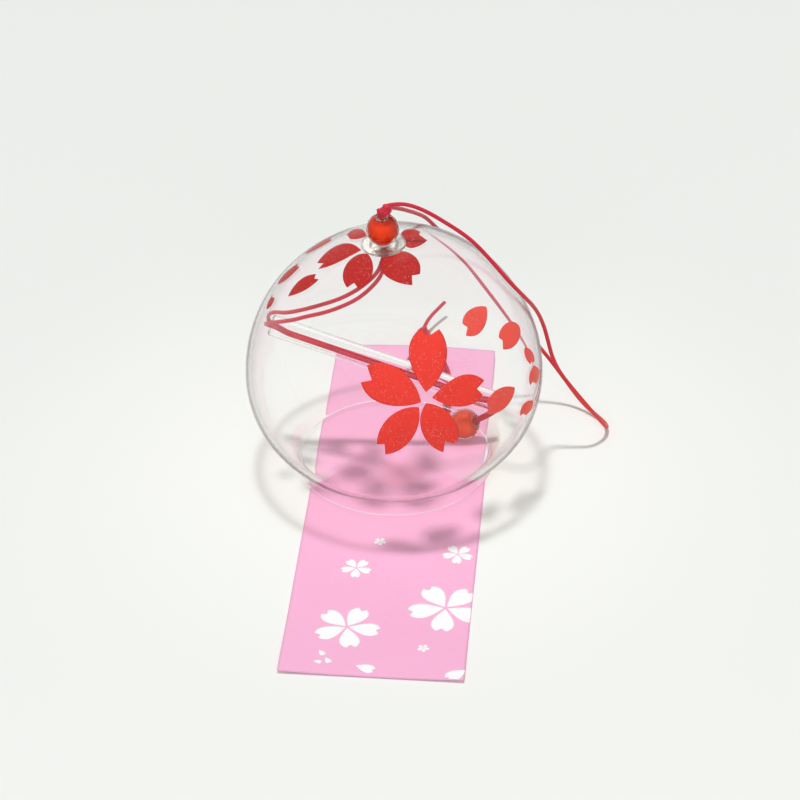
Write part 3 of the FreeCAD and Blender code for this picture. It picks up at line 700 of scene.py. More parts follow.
def lean_crown(globe, points):
    """Turn the crown towards its hole: the whole lean at the crown, none from 75 degrees down.
    The dome is a ball there, so the wall stays on it."""
    x, y, z = points[..., 0], points[..., 1], points[..., 2] - globe.dome_height
    polar = np.arctan2(np.hypot(x, y), z)
    angle = -globe.crown_lean * smooth((math.radians(75) - polar) / math.radians(55))
    return np.stack([x * np.cos(angle) + z * np.sin(angle), y,
                     z * np.cos(angle) - x * np.sin(angle) + globe.dome_height], -1)


class WINDBELL_OT_globe(Operator):
    """Build the blown glass globe with its open mouth, rounded lip and crown hole"""
    bl_idname = "wind_bell.globe"
    bl_label = "Glass Globe"

    def execute(self, context):
        kit = context.scene.wind_bell
        globe = kit.globe
        outline, out, side = wall_outline(globe)
        steps = 216
        turns = circle(steps)
        height = outline[:, 1:]
        swell = (globe.waviness * blown_share(globe, outline[:, :1], height)
                 * blown_wave(turns[None, :], height, 2.4 * side[:, None]) * (1 - 0.4 * side[:, None]))
        radius = outline[:, :1] + swell * out[:, :1]
        points = around(radius, turns, height + swell * out[:, 1:])
        faces = wrapped(grid_faces(len(outline), steps, True, True), len(outline), steps)
        make_piece("blown_globe", put(lean_crown(globe, points), bell_place(kit)), faces,
                   glass_material(globe, "blown_soda_glass", 0.7), "bell", ["glass_bell"])
        return {"FINISHED"}


class WINDBELL_OT_washer(Operator):
    """Build the clear washer that lines the crown hole"""
    bl_idname = "wind_bell.washer"
    bl_label = "Crown Washer"

    def execute(self, context):
        kit = context.scene.wind_bell
        crown, globe = kit.crown, kit.globe
        collar = globe.hole_radius - crown.collar_gap
        bore, rim, top, drop = crown.washer_bore, crown.washer_radius, crown.washer_thick, crown.collar_drop
        corners = [(bore, -drop), (collar, -drop), (collar, 0), (rim, 0), (rim, top), (bore, top)]
        seat = (np.eye(3), np.array([0, 0, crown_levels(kit)["seat"]]))
        outline = rounded_outline(corners, 0.24 * MM)
        points, faces = turned_shell(outline, 96, within(crown_place(kit), seat))
        body = acrylic_material("moulded_clear_washer", rgba(crown.washer_tint), 0.28, 1.0)
        make_piece("crown_ring", points, faces, body, "bell", ["crown_washer"])
        return {"FINISHED"}


def cut_bead(bead):
    """A cut bead: rows of corners on a ball, each row turned by half a step against the last, and
    two rows at the bore. Neighbouring rows are joined by triangles."""
    count, rows = bead.facets, bead.rows - bead.rows % 2
    polar = np.linspace(-1, 1, rows) * math.asin(END_ROW_SHARE)
    mouth = MOUTH_SHARE * bead.radius
    radius = np.concatenate([bead.radius * np.cos(polar), [bead.bore, bead.bore]])
    height = np.concatenate([bead.radius * np.sin(polar), [mouth, -mouth]])
    total = len(radius)
    shift = 0.5 * (np.arange(total) % 2)
    angle = (np.arange(count)[None, :] + shift[:, None]) * 2 * math.pi / count
    points = around(radius[:, None], angle, height[:, None])
    i, j = np.meshgrid(np.arange(total), np.arange(count), indexing="ij")
    up, odd = (i + 1) % total, i % 2
    here, beside = i * count + j, i * count + (j + 1) % count
    third = np.where(odd == 1, up * count + (j + 1) % count, up * count + j)
    fourth = np.where(odd == 1, up * count + j, up * count + (j - 1) % count)
    one = np.stack([here, beside, third], -1).reshape(-1, 3)
    two = np.stack([here, third, fourth], -1).reshape(-1, 3)
    return points, np.concatenate([one, two])


class WINDBELL_OT_beads(Operator):
    """Build the two cut beads, each a clear shell round a coloured ball"""
    bl_idname = "wind_bell.beads"
    bl_label = "Cut Beads"

    def execute(self, context):
        kit = context.scene.wind_bell
        bead = kit.bead
        middle = (np.eye(3), np.array([0, 0, crown_levels(kit)["bead"]]))
        clear = acrylic_material("cut_clear_acrylic", rgba(bead.shell_tint), 0.0, 0.05)
        shell, faces = cut_bead(bead)
        # The ball's outline is held off the axis by the bore, whose wall closes it
        polar, wall = np.linspace(0.06, math.pi - 0.06, 28), bead.bore + SKIN
        ball = np.stack([bead.core_radius * np.sin(polar), bead.core_radius * np.cos(polar)], -1)
        drilled = np.clip(ball, [wall, -1], None)
        drilled = np.concatenate([drilled, [(wall, drilled[-1, 1] / 2), (wall, drilled[0, 1] / 2)]])
        for name, place, core in (("top_bead", within(crown_place(kit), middle), bead.top_core),
                                  ("lower_bead", lower_bead_place(kit), bead.lower_core)):
            make_piece(name + "_cut_shell", put(shell, place), faces, clear, name,
                       [name + "_shell"], shade_smooth=False)
            points, sides = turned_shell(drilled, 48, place)
            bore = tuple(place[0] @ (0, 0, 1))
            paint = core_material("pigmented_ball_" + name, rgba(core), bore)
            make_piece(name + "_ball", points, sides, paint, name, [name + "_core"])
        return {"FINISHED"}


class WINDBELL_OT_clapper_tube(Operator):
    """Build the glass clapper tube with its fire-polished ends"""
    bl_idname = "wind_bell.clapper_tube"
    bl_label = "Clapper Tube"

    def execute(self, context):
        kit = context.scene.wind_bell
        tube = kit.clapper
        corners = [(tube.bore, 0), (tube.radius, 0), (tube.radius, tube.reach), (tube.bore, tube.reach)]
        points, faces = turned_shell(rounded_outline(corners, 0.4 * MM, 7), 64, tube_place(kit))
        glass = glass_material(kit.globe, "drawn_glass_tube", 0.0)
        make_piece("clapper_glass_tube", points, faces, glass, "tube", ["clapper_tube"])
        return {"FINISHED"}


# Cord

# Routes of the free stretches, in millimetres
ROUTES = {
    "hanging_loop": [
        (-2.0, -1.2, 81.6), (1.1, 1.7, 81.0), (6.9, 2.8, 78.7), (14.4, 5.2, 72.4),
        (19.8, 5.9, 67.9), (24.6, 5.1, 62.9), (30.0, 2.3, 57.8), (34.1, 4.1, 52.1),
        (37.2, 9.3, 45.0), (39.2, 12.0, 38.5), (40.6, 12.2, 32.9), (41.7, 11.9, 28.5),
        (43.7, 11.6, 23.9), (47.5, 11.3, 18.7), (52.5, 11.4, 12.1), (55.6, 13.6, 6.8),
        (57.2, 15.9, 3.1), (57.6, 18.7, 1.1), (56.7, 21.8, 0.6), (54.4, 24.8, 0.7),
        (51.2, 27.5, 1.9), (48.0, 29.7, 4.6), (44.7, 31.2, 8.6), (41.2, 32.1, 13.2),
        (37.1, 32.7, 18.3), (32.2, 33.3, 24.1), (27.2, 34.2, 30.2), (22.2, 35.6, 36.0),
        (17.3, 36.6, 42.3), (12.5, 35.6, 48.8), (8.6, 31.6, 55.6), (6.2, 25.6, 62.4),
        (4.2, 18.9, 67.6), (2.5, 12.5, 72.1), (0.6, 6.1, 76.6), (-1.9, -0.1, 80.6),
    ],
    "drop_strand_front": [
        (-2.1, -1.75, 65.8), (-2.9, -1.6, 62.6), (-3.9, -1.0, 59.4), (-6.1, -0.1, 55.8),
        (-9.4, 1.0, 51.7), (-13.5, 2.4, 48.1), (-19.3, 3.7, 44.6), (-24.6, 4.3, 42.7),
        (-27.92, 4.84, 41.09), (-31.53, 5.11, 40.13), (-34.0, 5.32, 39.58),
        (-35.58, 5.76, 39.01), (-36.0, 6.65, 38.3), (-35.2, 7.35, 37.45), (-33.69, 7.51, 36.86),
    ],
    "drop_strand_back": [
        (-2.95, -1.0, 65.8), (-3.8, -0.5, 62.4), (-5.1, 0.3, 59.4), (-7.7, 1.5, 55.9),
        (-11.0, 2.9, 52.2), (-16.1, 4.7, 48.1), (-22.4, 6.1, 44.8), (-27.0, 6.8, 42.8),
        (-30.52, 7.75, 41.31), (-32.73, 8.17, 41.19), (-34.63, 8.5, 40.75),
        (-35.6, 8.66, 39.51), (-35.3, 8.7, 37.75), (-33.74, 8.75, 36.86),
    ],
    "bead_cord_front": [
        (25.98, 9.69, 13.65), (27.4, 9.73, 13.1), (27.8, 9.83, 11.7), (26.5, 9.98, 10.1),
        (24.9, 10.2, 8.8), (23.4, 10.5, 7.7), (22.24, 10.88, 6.78),
    ],
    "bead_cord_back": [
        (25.94, 10.93, 13.65), (27.3, 10.98, 13.1), (27.7, 11.08, 11.7), (26.4, 11.2, 10.1),
        (24.8, 11.45, 8.8), (23.4, 11.8, 7.7), (22.24, 12.12, 6.78),
    ],
    "link_cord_left": [
        (21.96, 10.88, 6.6), (14.03, 10.88, 2.91), (11.87, 11.95, 1.65), (10.41, 14.22, 1.05),
        (10.18, 17.47, 0.95), (11.1, 21.05, 0.95), (11.99, 24.79, 0.95), (12.28, 28.99, 1.0),
        (11.88, 33.74, 1.15), (11.29, 38.48, 1.37), (10.01, 43.2, 1.75), (8.03, 48.16, 2.35),
        (5.83, 53.35, 3.1), (4.03, 57.35, 3.2), (3.0, 59.6, 2.9),
    ],
    "link_cord_right": [
        (21.96, 12.12, 6.6), (14.03, 12.12, 2.91), (12.83, 12.95, 1.75), (11.69, 14.78, 1.05),
        (11.42, 17.6, 0.95), (12.3, 20.75, 0.95), (13.21, 24.61, 0.95), (13.52, 29.01, 1.0),
        (13.12, 33.86, 1.15), (12.51, 38.72, 1.37), (11.19, 43.6, 1.75), (9.17, 48.64, 2.35),
        (6.97, 53.85, 3.1), (5.27, 57.65, 3.2), (4.1, 59.7, 2.9),
    ],
    "strip_tie": [
        (3.0, 59.3, 3.3), (2.5, 56.0, 3.35), (2.1, 52.4, 3.1), (1.8, 48.8, 2.95),
        (1.7, 46.1, 3.0), (1.7, 45.4, 1.8), (1.7, 46.1, 0.6), (1.75, 48.2, 0.58),
        (1.9, 51.4, 0.62), (2.3, 54.8, 0.85), (2.8, 57.8, 1.5), (3.1, 59.8, 2.2),
    ],
    "cord_tail": [
        (3.4, 61.6, 3.2), (4.0, 63.6, 4.0), (5.4, 67.2, 4.5), (7.3, 71.1, 4.9), (9.2, 74.8, 5.5),
    ],
}

# Body of each free stretch, and for those of 30 mm or more the real length and what ends them
STRETCHES = {
    "hanging_loop": ("loop", 0.2343, "object"),
    "drop_strand_front": ("clapper", 0.0503, "object"),
    "drop_strand_back": ("clapper", 0.0487, "object"),
    "bead_cord_front": (None, None, None),
    "bead_cord_back": (None, None, None),
    "link_cord_left": ("strip_line", 0.0614, "knot"),
    "link_cord_right": ("strip_line", 0.0597, "knot"),
    "strip_tie": ("strip_line", None, None),
    "cord_tail": ("strip_line", None, None),
}


def spline_points(route):
    """Points of the smooth NURBS line that a route's points control."""
    data = bpy.data.curves.new("route", "CURVE")
    data.dimensions, data.resolution_u = "3D", 12
    spline = data.splines.new("NURBS")
    spline.points.add(len(route) - 1)
    spline.points.foreach_set("co", np.c_[np.array(route) * MM, np.ones(len(route))].ravel())
    spline.order_u = 3
    spline.use_endpoint_u = True
    holder = bpy.data.objects.new("route", data)
    mesh = bpy.data.meshes.new_from_object(holder)
    found = np.zeros(len(mesh.vertices) * 3)
    mesh.vertices.foreach_get("co", found)
    bpy.data.meshes.remove(mesh)
    bpy.data.objects.remove(holder)
    bpy.data.curves.remove(data)
    return found.reshape(-1, 3)


def cord_tube(path, radius, closed=False, sides=14):
    """A round cord along a path: each ring is the path's point plus the radius times the cosine
    and sine of the turn along two directions square to the path, which are carried along it
    without twist. Open ends are rounded off over half a radius. Returns points, faces and the UV
    map, which is metres along the cord and turns round it."""
    path = np.asarray(path, float)
    ahead = np.roll(path, -1, 0) - path if closed else np.diff(path, axis=0, append=path[-1:])
    if not closed:
        ahead[-1] = ahead[-2]
    tangent = ahead / np.linalg.norm(ahead, axis=1, keepdims=True)
    before = np.roll(tangent, 1, 0)
    if not closed:
        before[0] = tangent[0]
    tangent = tangent + before
    tangent /= np.linalg.norm(tangent, axis=1, keepdims=True)
    side = np.cross(tangent[0], (0.31, 0.17, 0.94))
    carried = []
    for direction in tangent:
        side = side - direction * (side @ direction)
        side = side / np.linalg.norm(side)
        carried.append(side)
    across = np.array(carried)
    upward = np.cross(tangent, across)
    gone = np.concatenate([[0], np.cumsum(np.linalg.norm(np.diff(path, axis=0), axis=1))])
    size = np.full(len(path), radius)
    if not closed:
        inset = np.array([0.0, 0.15, 0.6])
        swell = np.sqrt(1 - (1 - inset) ** 2)
        past = radius / 2 * (1 - inset)
        path = np.concatenate([path[0] - tangent[0] * past[:, None], path,
                               path[-1] + tangent[-1] * past[::-1, None]])
        size = np.concatenate([radius * swell, size, radius * swell[::-1]])
        gone = np.concatenate([gone[0] - past, gone, gone[-1] + past[::-1]])
        across, upward = (np.pad(v, ((len(past), len(past)), (0, 0)), "edge") for v in (across, upward))
    angle = circle(sides)[:, None]
    ring = np.cos(angle) * across[:, None] + np.sin(angle) * upward[:, None]
    points = path[:, None] + size[:, None, None] * ring
    corners = grid_faces(len(path), sides, closed, True)
    if closed:
        gone = np.append(gone, gone[-1] + np.linalg.norm(path[0] - path[-1]))
    uv = np.stack([gone[corners[..., 0]], corners[..., 1] / sides], -1)
    return points, wrapped(corners, len(path), sides), uv


def braid(context):
    """The cord's material, which is made once."""
    return bpy.data.materials.get("braided_polyester_cord") or cord_material(context.scene.wind_bell.cord)


class WINDBELL_OT_cord(Operator):
    """Lay the braided cord: the hanging loop, the doubled strands to the clapper and to the strip"""
    bl_idname = "wind_bell.cord"
    bl_label = "Braided Cord"

    def execute(self, context):
        kit = context.scene.wind_bell
        cord = kit.cord
        yarn = braid(context)
        for name, (body, real, end) in STRETCHES.items():
            path = spline_points(ROUTES[name])
            points, faces, uv = cord_tube(path, cord.diameter / 2)
            piece = make_piece(name + "_braid", points, faces, yarn, body, [name], uv)
            if body is None:
                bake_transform(piece)
        levels, side, tube = crown_levels(kit), cord.spacing / 2, kit.clapper
        up = np.linspace(levels["stop_knot"], levels["top_knot"], 40)
        margin = tube.radius - tube.bore
        along = np.linspace(margin, tube.reach - margin, 160)
        # The strands sag onto the bottom of the bore over the first and last 5 mm
        ramp = 5 * MM
        sag = 0.75 * MM * smooth((along - margin) / ramp) * smooth((tube.reach - margin - along) / ramp)
        pairs = (("crown_strand_left", crown_place(kit), (-side, 0, up)),
                 ("crown_strand_right", crown_place(kit), (side, 0, up)),
                 ("tube_strand_front", tube_place(kit), (sag, -side, along)),
                 ("tube_strand_back", tube_place(kit), (sag, side, along)))
        for name, place, line in pairs:
            run = np.stack(np.broadcast_arrays(*line), -1)
            points, faces, uv = cord_tube(put(run, place), cord.diameter / 2)
            make_piece(name + "_braid", points, faces, yarn, "clapper", [name], uv)
        return {"FINISHED"}


def knot_line(radius, thick, wander, steps=150):
    """An overhand knot pulled tight, as a closed line: (2 + cos 3t) times the cosine and sine of
    2t, and a height of 2.2 sin 3t, scaled to lie inside the knot's ball. Each strand wanders to
    its own side of that line by a share of the cord."""
    inset_share, wander_share = 0.86, 0.28
    t = np.linspace(0, 2 * math.pi, steps, endpoint=False)
    ring = 2 + np.cos(3 * t)
    line = np.stack([ring * np.cos(2 * t), ring * np.sin(2 * t), 2.2 * np.sin(3 * t)], -1)
    beside = np.stack([np.cos(2 * t) * np.cos(t), np.sin(2 * t) * np.cos(t), np.sin(t + wander)], -1)
    return line * (radius - thick * inset_share) / 3.1 + beside * thick * wander_share * wander


class WINDBELL_OT_knots(Operator):
    """Tie the three knots of the doubled cord"""
    bl_idname = "wind_bell.knots"
    bl_label = "Knots"

    def execute(self, context):
        kit = context.scene.wind_bell
        cord, yarn = kit.cord, braid(context)
        ties = (("top_knot", "loop", cord.top_knot, 0.6), ("stop_knot", "clapper", cord.stop_knot, 1.7),
                ("strip_knot", "strip_line", cord.strip_knot, 2.6))
        for name, body, radius, turned in ties:
            low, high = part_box(name)
            centre = (np.array(low) + np.array(high)) / 2
            place = (rotation((0, 1, 0), turned) @ rotation((1, 0, 0), 0.7), centre)
            lines = [put(knot_line(radius, cord.diameter, wander), place) for wander in (-1.0, 1.0)]
            parts = [cord_tube(line, cord.diameter / 2, True) for line in lines]
            points, faces, uv = (np.concatenate([part[k] for part in parts]) for k in range(3))
            # The second strand's faces count on from the first strand's points
            faces[len(parts[0][1]):] += parts[0][0][..., 0].size
            make_piece(name + "_braid", points, faces, yarn, body, [name], uv)
        return {"FINISHED"}


# Paper strip

def strip_surface(strip, across, along):
    """The strip's top face: flat up to the curl, then an arc of the bend's radius, with its front
    corners a little off the table. The place along it is measured on the paper."""
    curl = np.clip(along - strip.flat, 0, None) / strip.bend
    inner = strip.bend - strip.thick
    y = np.minimum(along, strip.flat) + inner * np.sin(curl)
    z = strip.thick + inner * (1 - np.cos(curl))
    edge = np.abs(across - strip.shift) / (strip.width / 2)
    rise, middle_share = 24.7 * MM, 0.35
    shape = middle_share + (1 - middle_share) * edge ** 2
    z = z + strip.corner_lift * smooth((rise - strip.front - along) / rise) * shape
    return np.stack(np.broadcast_arrays(across, y, z), -1)


class WINDBELL_OT_paper_strip(Operator):
    """Build the paper strip with its curled end and punched hole"""
    bl_idname = "wind_bell.paper_strip"
    bl_label = "Paper Strip"

    def execute(self, context):
        strip = context.scene.wind_bell.strip
        along = np.linspace(-strip.front, strip.back, 212)
        across = strip.shift + np.linspace(-0.5, 0.5, 68) * strip.width
        y, x = np.meshgrid(along, across, indexing="ij")
        # Cells inside the punched hole are left out, and corners near it are drawn to its circle
        centre = np.array([strip.shift, strip.back - strip.hole_inset])
        away = np.stack([x, y], -1) - centre
        far = np.linalg.norm(away, axis=-1)
        corners = grid_faces(*x.shape)
        numbers = wrapped(corners, *x.shape)
        kept = np.mean(far.ravel()[numbers], axis=1) > strip.hole
        near = 0.25 * MM
        draw = np.where(far < strip.hole + near, strip.hole / np.maximum(far, 1e-9), 1)
        x, y = np.moveaxis(centre + away * draw[..., None], -1, 0)
        used = np.unique(numbers[kept])
        renumbered = np.full(x.size, -1)
        renumbered[used] = np.arange(len(used))
        points = strip_surface(strip, x, y).reshape(-1, 3)[used]
        make_piece("card_strip", points, renumbered[numbers[kept]], paper_material(strip), "strip_line",
                   ["paper_strip"], towards=(0, 0, 1), film=-strip.thick)
        return {"FINISHED"}


# Prints

# Outline of each petal on the globe in the photograph's pixels: its base, two points and the
# lobe of one side, the notch, and the lobe and two points of the other side
FRONT_BLOSSOM = {
    "upper": [(425.7, 392), (415, 375), (408.7, 351.2), (420.5, 328.2), (428.4, 336.3), (439, 329.2),
              (447, 351.2), (439.2, 377.5)],
    "right": [(432, 397.5), (447.5, 382.5), (465, 374.5), (484.2, 380.4), (476.8, 388.8), (482.7, 394.8),
              (467.5, 405.5), (450, 405.5)],
    "lower_right": [(426.2, 403), (445, 410), (457.3, 426.2), (455.3, 444), (445, 441.3), (443.3, 452.1),
                    (426.2, 440), (420, 420)],
    "lower_left": [(418.7, 407), (397.5, 411.2), (382.5, 425), (376.9, 444), (384.5, 444), (385.4, 454.4),
                   (406.2, 445), (418.2, 425)],
    "left": [(421, 402), (410, 378.7), (390, 364.5), (367, 365.5), (371.8, 380), (360.9, 382.3),
             (370, 397), (392.5, 405.7)],
}
CROWN_BLOSSOM = {
    "right_back": [(402.5, 241), (403.7, 230.5), (412.5, 229.2), (420.5, 232.2), (419, 234.6),
                   (427.3, 240.5), (420, 245.5), (410, 248)],
    "left_back": [(366.5, 236), (360, 228.7), (350, 231.2), (346.7, 234.5), (348.3, 236), (350, 238.7),
                  (357.5, 238.9), (362.5, 237.7)],
    "left": [(361.2, 250.4), (345, 243.2), (327.5, 251.2), (317.2, 263.2), (323.7, 263.2), (318.4, 269.2),
             (332.5, 265), (350, 256.4)],
    "left_front": [(367.5, 253.8), (350, 260), (343, 273.7), (347.2, 287.7), (354.2, 283), (358.2, 288.5),
                   (370.5, 278.7), (373, 265)],
    "right_front": [(387, 255), (400, 250.6), (413.7, 255.5), (419.8, 274.2), (412, 275.5),
                    (412.3, 285.2), (393.7, 280.8), (382.8, 272.5)],
}
RIGHT_PETALS = {
    "1": [(486.3, 306.8), (475, 307.2), (465.5, 313.7), (462.5, 323.8), (467.4, 327.4), (465.8, 335.6),
          (478.7, 333.7), (487, 317.5)],
    "2": [(518.8, 325), (510, 321.7), (501.2, 328.7), (498.8, 337.5), (502.7, 340.4), (503, 349.3),
          (512.5, 347.5), (520.5, 335)],
    "3": [(514.8, 387.4), (502.5, 387.2), (490, 396.2), (486.8, 404), (489, 408), (485.6, 413.7),
          (500, 411.2), (511.2, 400)],
    "4": [(525, 347.3), (524.6, 353.7), (527, 360), (530.5, 364.4), (531.3, 361.6), (534, 362.6),
          (534.3, 357.5), (531, 350)],
    "5": [(534, 365.4), (529.6, 374.5), (529.2, 380.5), (530.2, 385.2), (532.6, 381.6), (536, 383.6),
          (538.6, 378.7), (539.3, 370.5)],
    "6": [(532.2, 400.3), (525, 402.5), (520.7, 409), (519.8, 415.8), (523, 413.4), (525, 415.2),
          (529, 412), (532.4, 406.3)],
}
LEFT_PETALS = {
    "1": [(288.1, 296.6), (295, 285.2), (305, 276.9), (316.2, 274.3), (314.3, 278.6), (318.8, 279.5),
          (311.2, 286.3), (300, 292.7)],
    "2": [(304, 253.4), (314.1, 245.9), (323.9, 240), (331, 236.6), (329.4, 238.8), (331.4, 239.4),
          (325, 243.2), (313.7, 249.4)],
    "3": [(277.3, 284.3), (282.5, 276), (291.5, 267.7), (298.6, 263.2), (296.8, 266), (299.6, 266.8),
          (295.5, 271), (286, 279.6)],
    "4": [(266.4, 309.4), (267.2, 304.5), (269.6, 299.2), (272.6, 295), (272.3, 297.6), (274.4, 297.4),
          (273.2, 302), (270, 306.8)],
}
# Blossoms and petals on the strip: pixel of the middle, size in millimetres, turn in degrees
STRIP_BLOSSOMS = [
    ((380.2, 541.6), 1.7, -84), ((356.4, 568), 4.1, -90), ((457.9, 554.3), 4.1, -92),
    ((445.7, 608), 9.8, -93), ((423.3, 648.8), 1.6, -80), ((347, 627), 8.6, -78),
]
STRIP_PETALS = [
    ((318.6, 650.6), 2.6, -52), ((325.4, 658), 2.6, -60), ((313, 661.9), 2.2, -8),
    ((354.6, 665.8), 5.4, -18), ((467.5, 671.5), 6.4, -142),
]


def through(points, steps):
    """The cubic that passes through four points, at the shares of their straight distance."""
    points = np.asarray(points, float)
    gone = np.concatenate([[0], np.cumsum(np.linalg.norm(np.diff(points, axis=0), axis=1))])
    return np.vander(steps, 4) @ np.linalg.solve(np.vander(gone / gone[-1], 4), points)


def petal_sheet(outline, rows=26, columns=15):
    """A petal from its outline: straight blends across, from one side's curve to the other's,
    pulled towards the notch by the cube of the way out from the base."""
    out, over = np.linspace(0, 1, rows), np.linspace(0, 1, columns)
    outline = np.asarray(outline, float)
    one, other = through(outline[:4], out), through(outline[[0, 7, 6, 5]], out)
    sheet = one[:, None] * (1 - over)[None, :, None] + other[:, None] * over[None, :, None]
    dent = outline[4] - (outline[3] + outline[5]) / 2
    return sheet + (out ** 3)[:, None, None] * (1 - np.abs(2 * over - 1))[None, :, None] * dent


def on_globe(kit, pixels):
    """Where rays through pixels first meet the globe, lifted onto the swollen outer wall: the
    near root of the ray and ball, then the dome's or the belly's arc at that height."""
    globe = kit.globe
    turned, base = bell_place(kit)
    centre = put((0, 0, globe.dome_height), (turned, base))
    eye, rays = sight(kit, pixels)
    middle = np.sum((eye - centre) * rays, -1)
    depth = middle ** 2 - (np.sum((eye - centre) ** 2) - globe.dome_radius ** 2)
    away = -middle - np.sqrt(np.clip(depth, 0, None))
    local = (eye + rays * away[..., None] - base) @ turned
    x, y, z = local[..., 0], local[..., 1], local[..., 2] - globe.dome_height
    turns, flat = np.arctan2(y, x), np.hypot(x, y)
    polar = np.arctan2(flat, np.maximum(z, 0))
    below = np.clip(-z / globe.belly_radius, 0, 0.95)
    slope = np.sqrt(1 - below ** 2)
    inset = globe.dome_radius - globe.belly_radius
    radius = np.where(z >= 0, globe.dome_radius * np.sin(polar), inset + globe.belly_radius * slope)
    height = globe.dome_height + np.where(z >= 0, globe.dome_radius * np.cos(polar), z)
    out = np.stack([np.where(z >= 0, np.sin(polar), slope), np.where(z >= 0, np.cos(polar), -below)], -1)
    lift = SKIN + globe.waviness * blown_share(globe, radius, height) * blown_wave(turns, height, 0)
    radius, height = radius + lift * out[..., 0], height + lift * out[..., 1]
    return put(around(radius, turns, height), (turned, base))


class WINDBELL_OT_globe_prints(Operator):
    """Print the blossoms and loose petals on the globe"""
    bl_idname = "wind_bell.globe_prints"
    bl_label = "Petals on the Globe"

    def execute(self, context):
        kit = context.scene.wind_bell
        prints = kit.prints
        # The crown's and the left petals' darker red is painted shade, the loose right petals' paler red
        # painted light
        groups = (("front_blossom", FRONT_BLOSSOM, prints.front, 0.42),
                  ("crown_blossom", CROWN_BLOSSOM, prints.crown, 0.30),
                  ("loose_petals_right", RIGHT_PETALS, prints.loose, 0.40),
                  ("loose_petals_left", LEFT_PETALS, prints.crown, 0.30))
        centre = put((0, 0, kit.globe.dome_height), bell_place(kit))
        for name, petals, red, glow in groups:
            enamel = petal_material("printed_enamel_" + name, rgba(red), rgba(prints.fleck), glow)
            for label, outline in petals.items():
                sheet = on_globe(kit, petal_sheet(outline))
                faces = wrapped(grid_faces(*sheet.shape[:2]), *sheet.shape[:2])
                make_piece("%s_%s" % (name, label), sheet, faces, enamel, "bell",
                           towards=sheet.mean((0, 1)) - centre, film=prints.film)
        return {"FINISHED"}


def plain_petal(size, angle):
    """A petal from its blossom's middle, in shares of its size, turned by an angle."""
    shape = np.array([(0.05, 0), (0.34, 0.19), (0.70, 0.31), (1.0, 0.13), (0.87, 0), (1.0, -0.13),
                      (0.70, -0.31), (0.34, -0.19)]) * size
    along, over = (math.cos(angle), math.sin(angle)), (-math.sin(angle), math.cos(angle))
    return shape[:, :1] * along + shape[:, 1:] * over


class WINDBELL_OT_strip_prints(Operator):
    """Print the white blossoms on the paper strip"""
    bl_idname = "wind_bell.strip_prints"
    bl_label = "Blossoms on the Strip"

    def execute(self, context):
        kit = context.scene.wind_bell
        strip = kit.strip
        ink = ink_material(strip)
        petals = [(pixel, size, turned + 72 * k)
                  for pixel, size, turned in STRIP_BLOSSOMS for k in range(5)] + STRIP_PETALS
        eye, rays = sight(kit, [pixel for pixel, _, _ in petals])
        middles = eye + rays * ((strip.thick - eye[2]) / rays[:, 2])[:, None]
        sheets, rows, columns = [], 20, 11
        for middle, (_, size, turned) in zip(middles, petals):
            flat = petal_sheet(middle[:2] + plain_petal(size * MM, math.radians(turned)), rows, columns)
            # The petals at the edges are cut off where the paper ends
            x = np.clip(flat[..., 0], None, strip.shift + strip.width / 2 - PLAY)
            y = np.clip(flat[..., 1], PLAY - strip.front, None)
            sheets.append(strip_surface(strip, x, y) + (0, 0, 0.6 * SKIN))
        faces = wrapped(grid_faces(rows, columns), rows, columns)
        numbers = np.concatenate([faces + rows * columns * k for k in range(len(sheets))])
        make_piece("strip_blossoms", np.array(sheets), numbers, ink, "strip_line",
                   towards=(0, 0, 1), film=SKIN)
        return {"FINISHED"}


# Stage

def white_room(stage):
    """A world that gives an even light, and is plain white to the camera and to mirrored and
    refracted rays."""
    world = bpy.data.worlds.new("soft_white_room")
    world.use_nodes = True
    tree = world.node_tree
    tree.nodes.clear()
    path = add_node(tree, "ShaderNodeLightPath")
    seen = add_node(tree, "ShaderNodeMath", links={
        0: path.outputs["Is Camera Ray"], 1: path.outputs["Is Glossy Ray"]}, operation="MAXIMUM")
    clear = add_node(tree, "ShaderNodeMath", links={
        0: seen.outputs[0], 1: path.outputs["Is Transmission Ray"]}, operation="MAXIMUM")
    room = add_node(tree, "ShaderNodeBackground", {"Color": colour("#F8FCFA"), "Strength": stage.sky})
    white = add_node(tree, "ShaderNodeBackground", {"Color": colour("#FFFFFF"), "Strength": 1.0})
    both = add_node(tree, "ShaderNodeMixShader", links={
        0: clear.outputs[0], 1: room.outputs[0], 2: white.outputs[0]})
    add_node(tree, "ShaderNodeOutputWorld", links={"Surface": both.outputs[0]})
    return world


def table_material(stage):
    """White card, uncoated. It gives the eye an even matt white with a very faint mottle."""
    material, tree, output, place = new_material("white_card_table")
    mottle = add_node(tree, "ShaderNodeTexNoise", {"Scale": cells(125), "Detail": 2.0},
                      {"Vector": place.outputs["Object"]})
    shade = mottled(tree, rgba(stage.floor), 0.985, mottle.outputs["Fac"])
    matt = add_node(tree, "ShaderNodeBsdfPrincipled", {"Roughness": 0.8, "Specular IOR Level": 0.2},
                    {"Base Color": shade})
    tree.links.new(matt.outputs[0], output.inputs["Surface"])
    return material


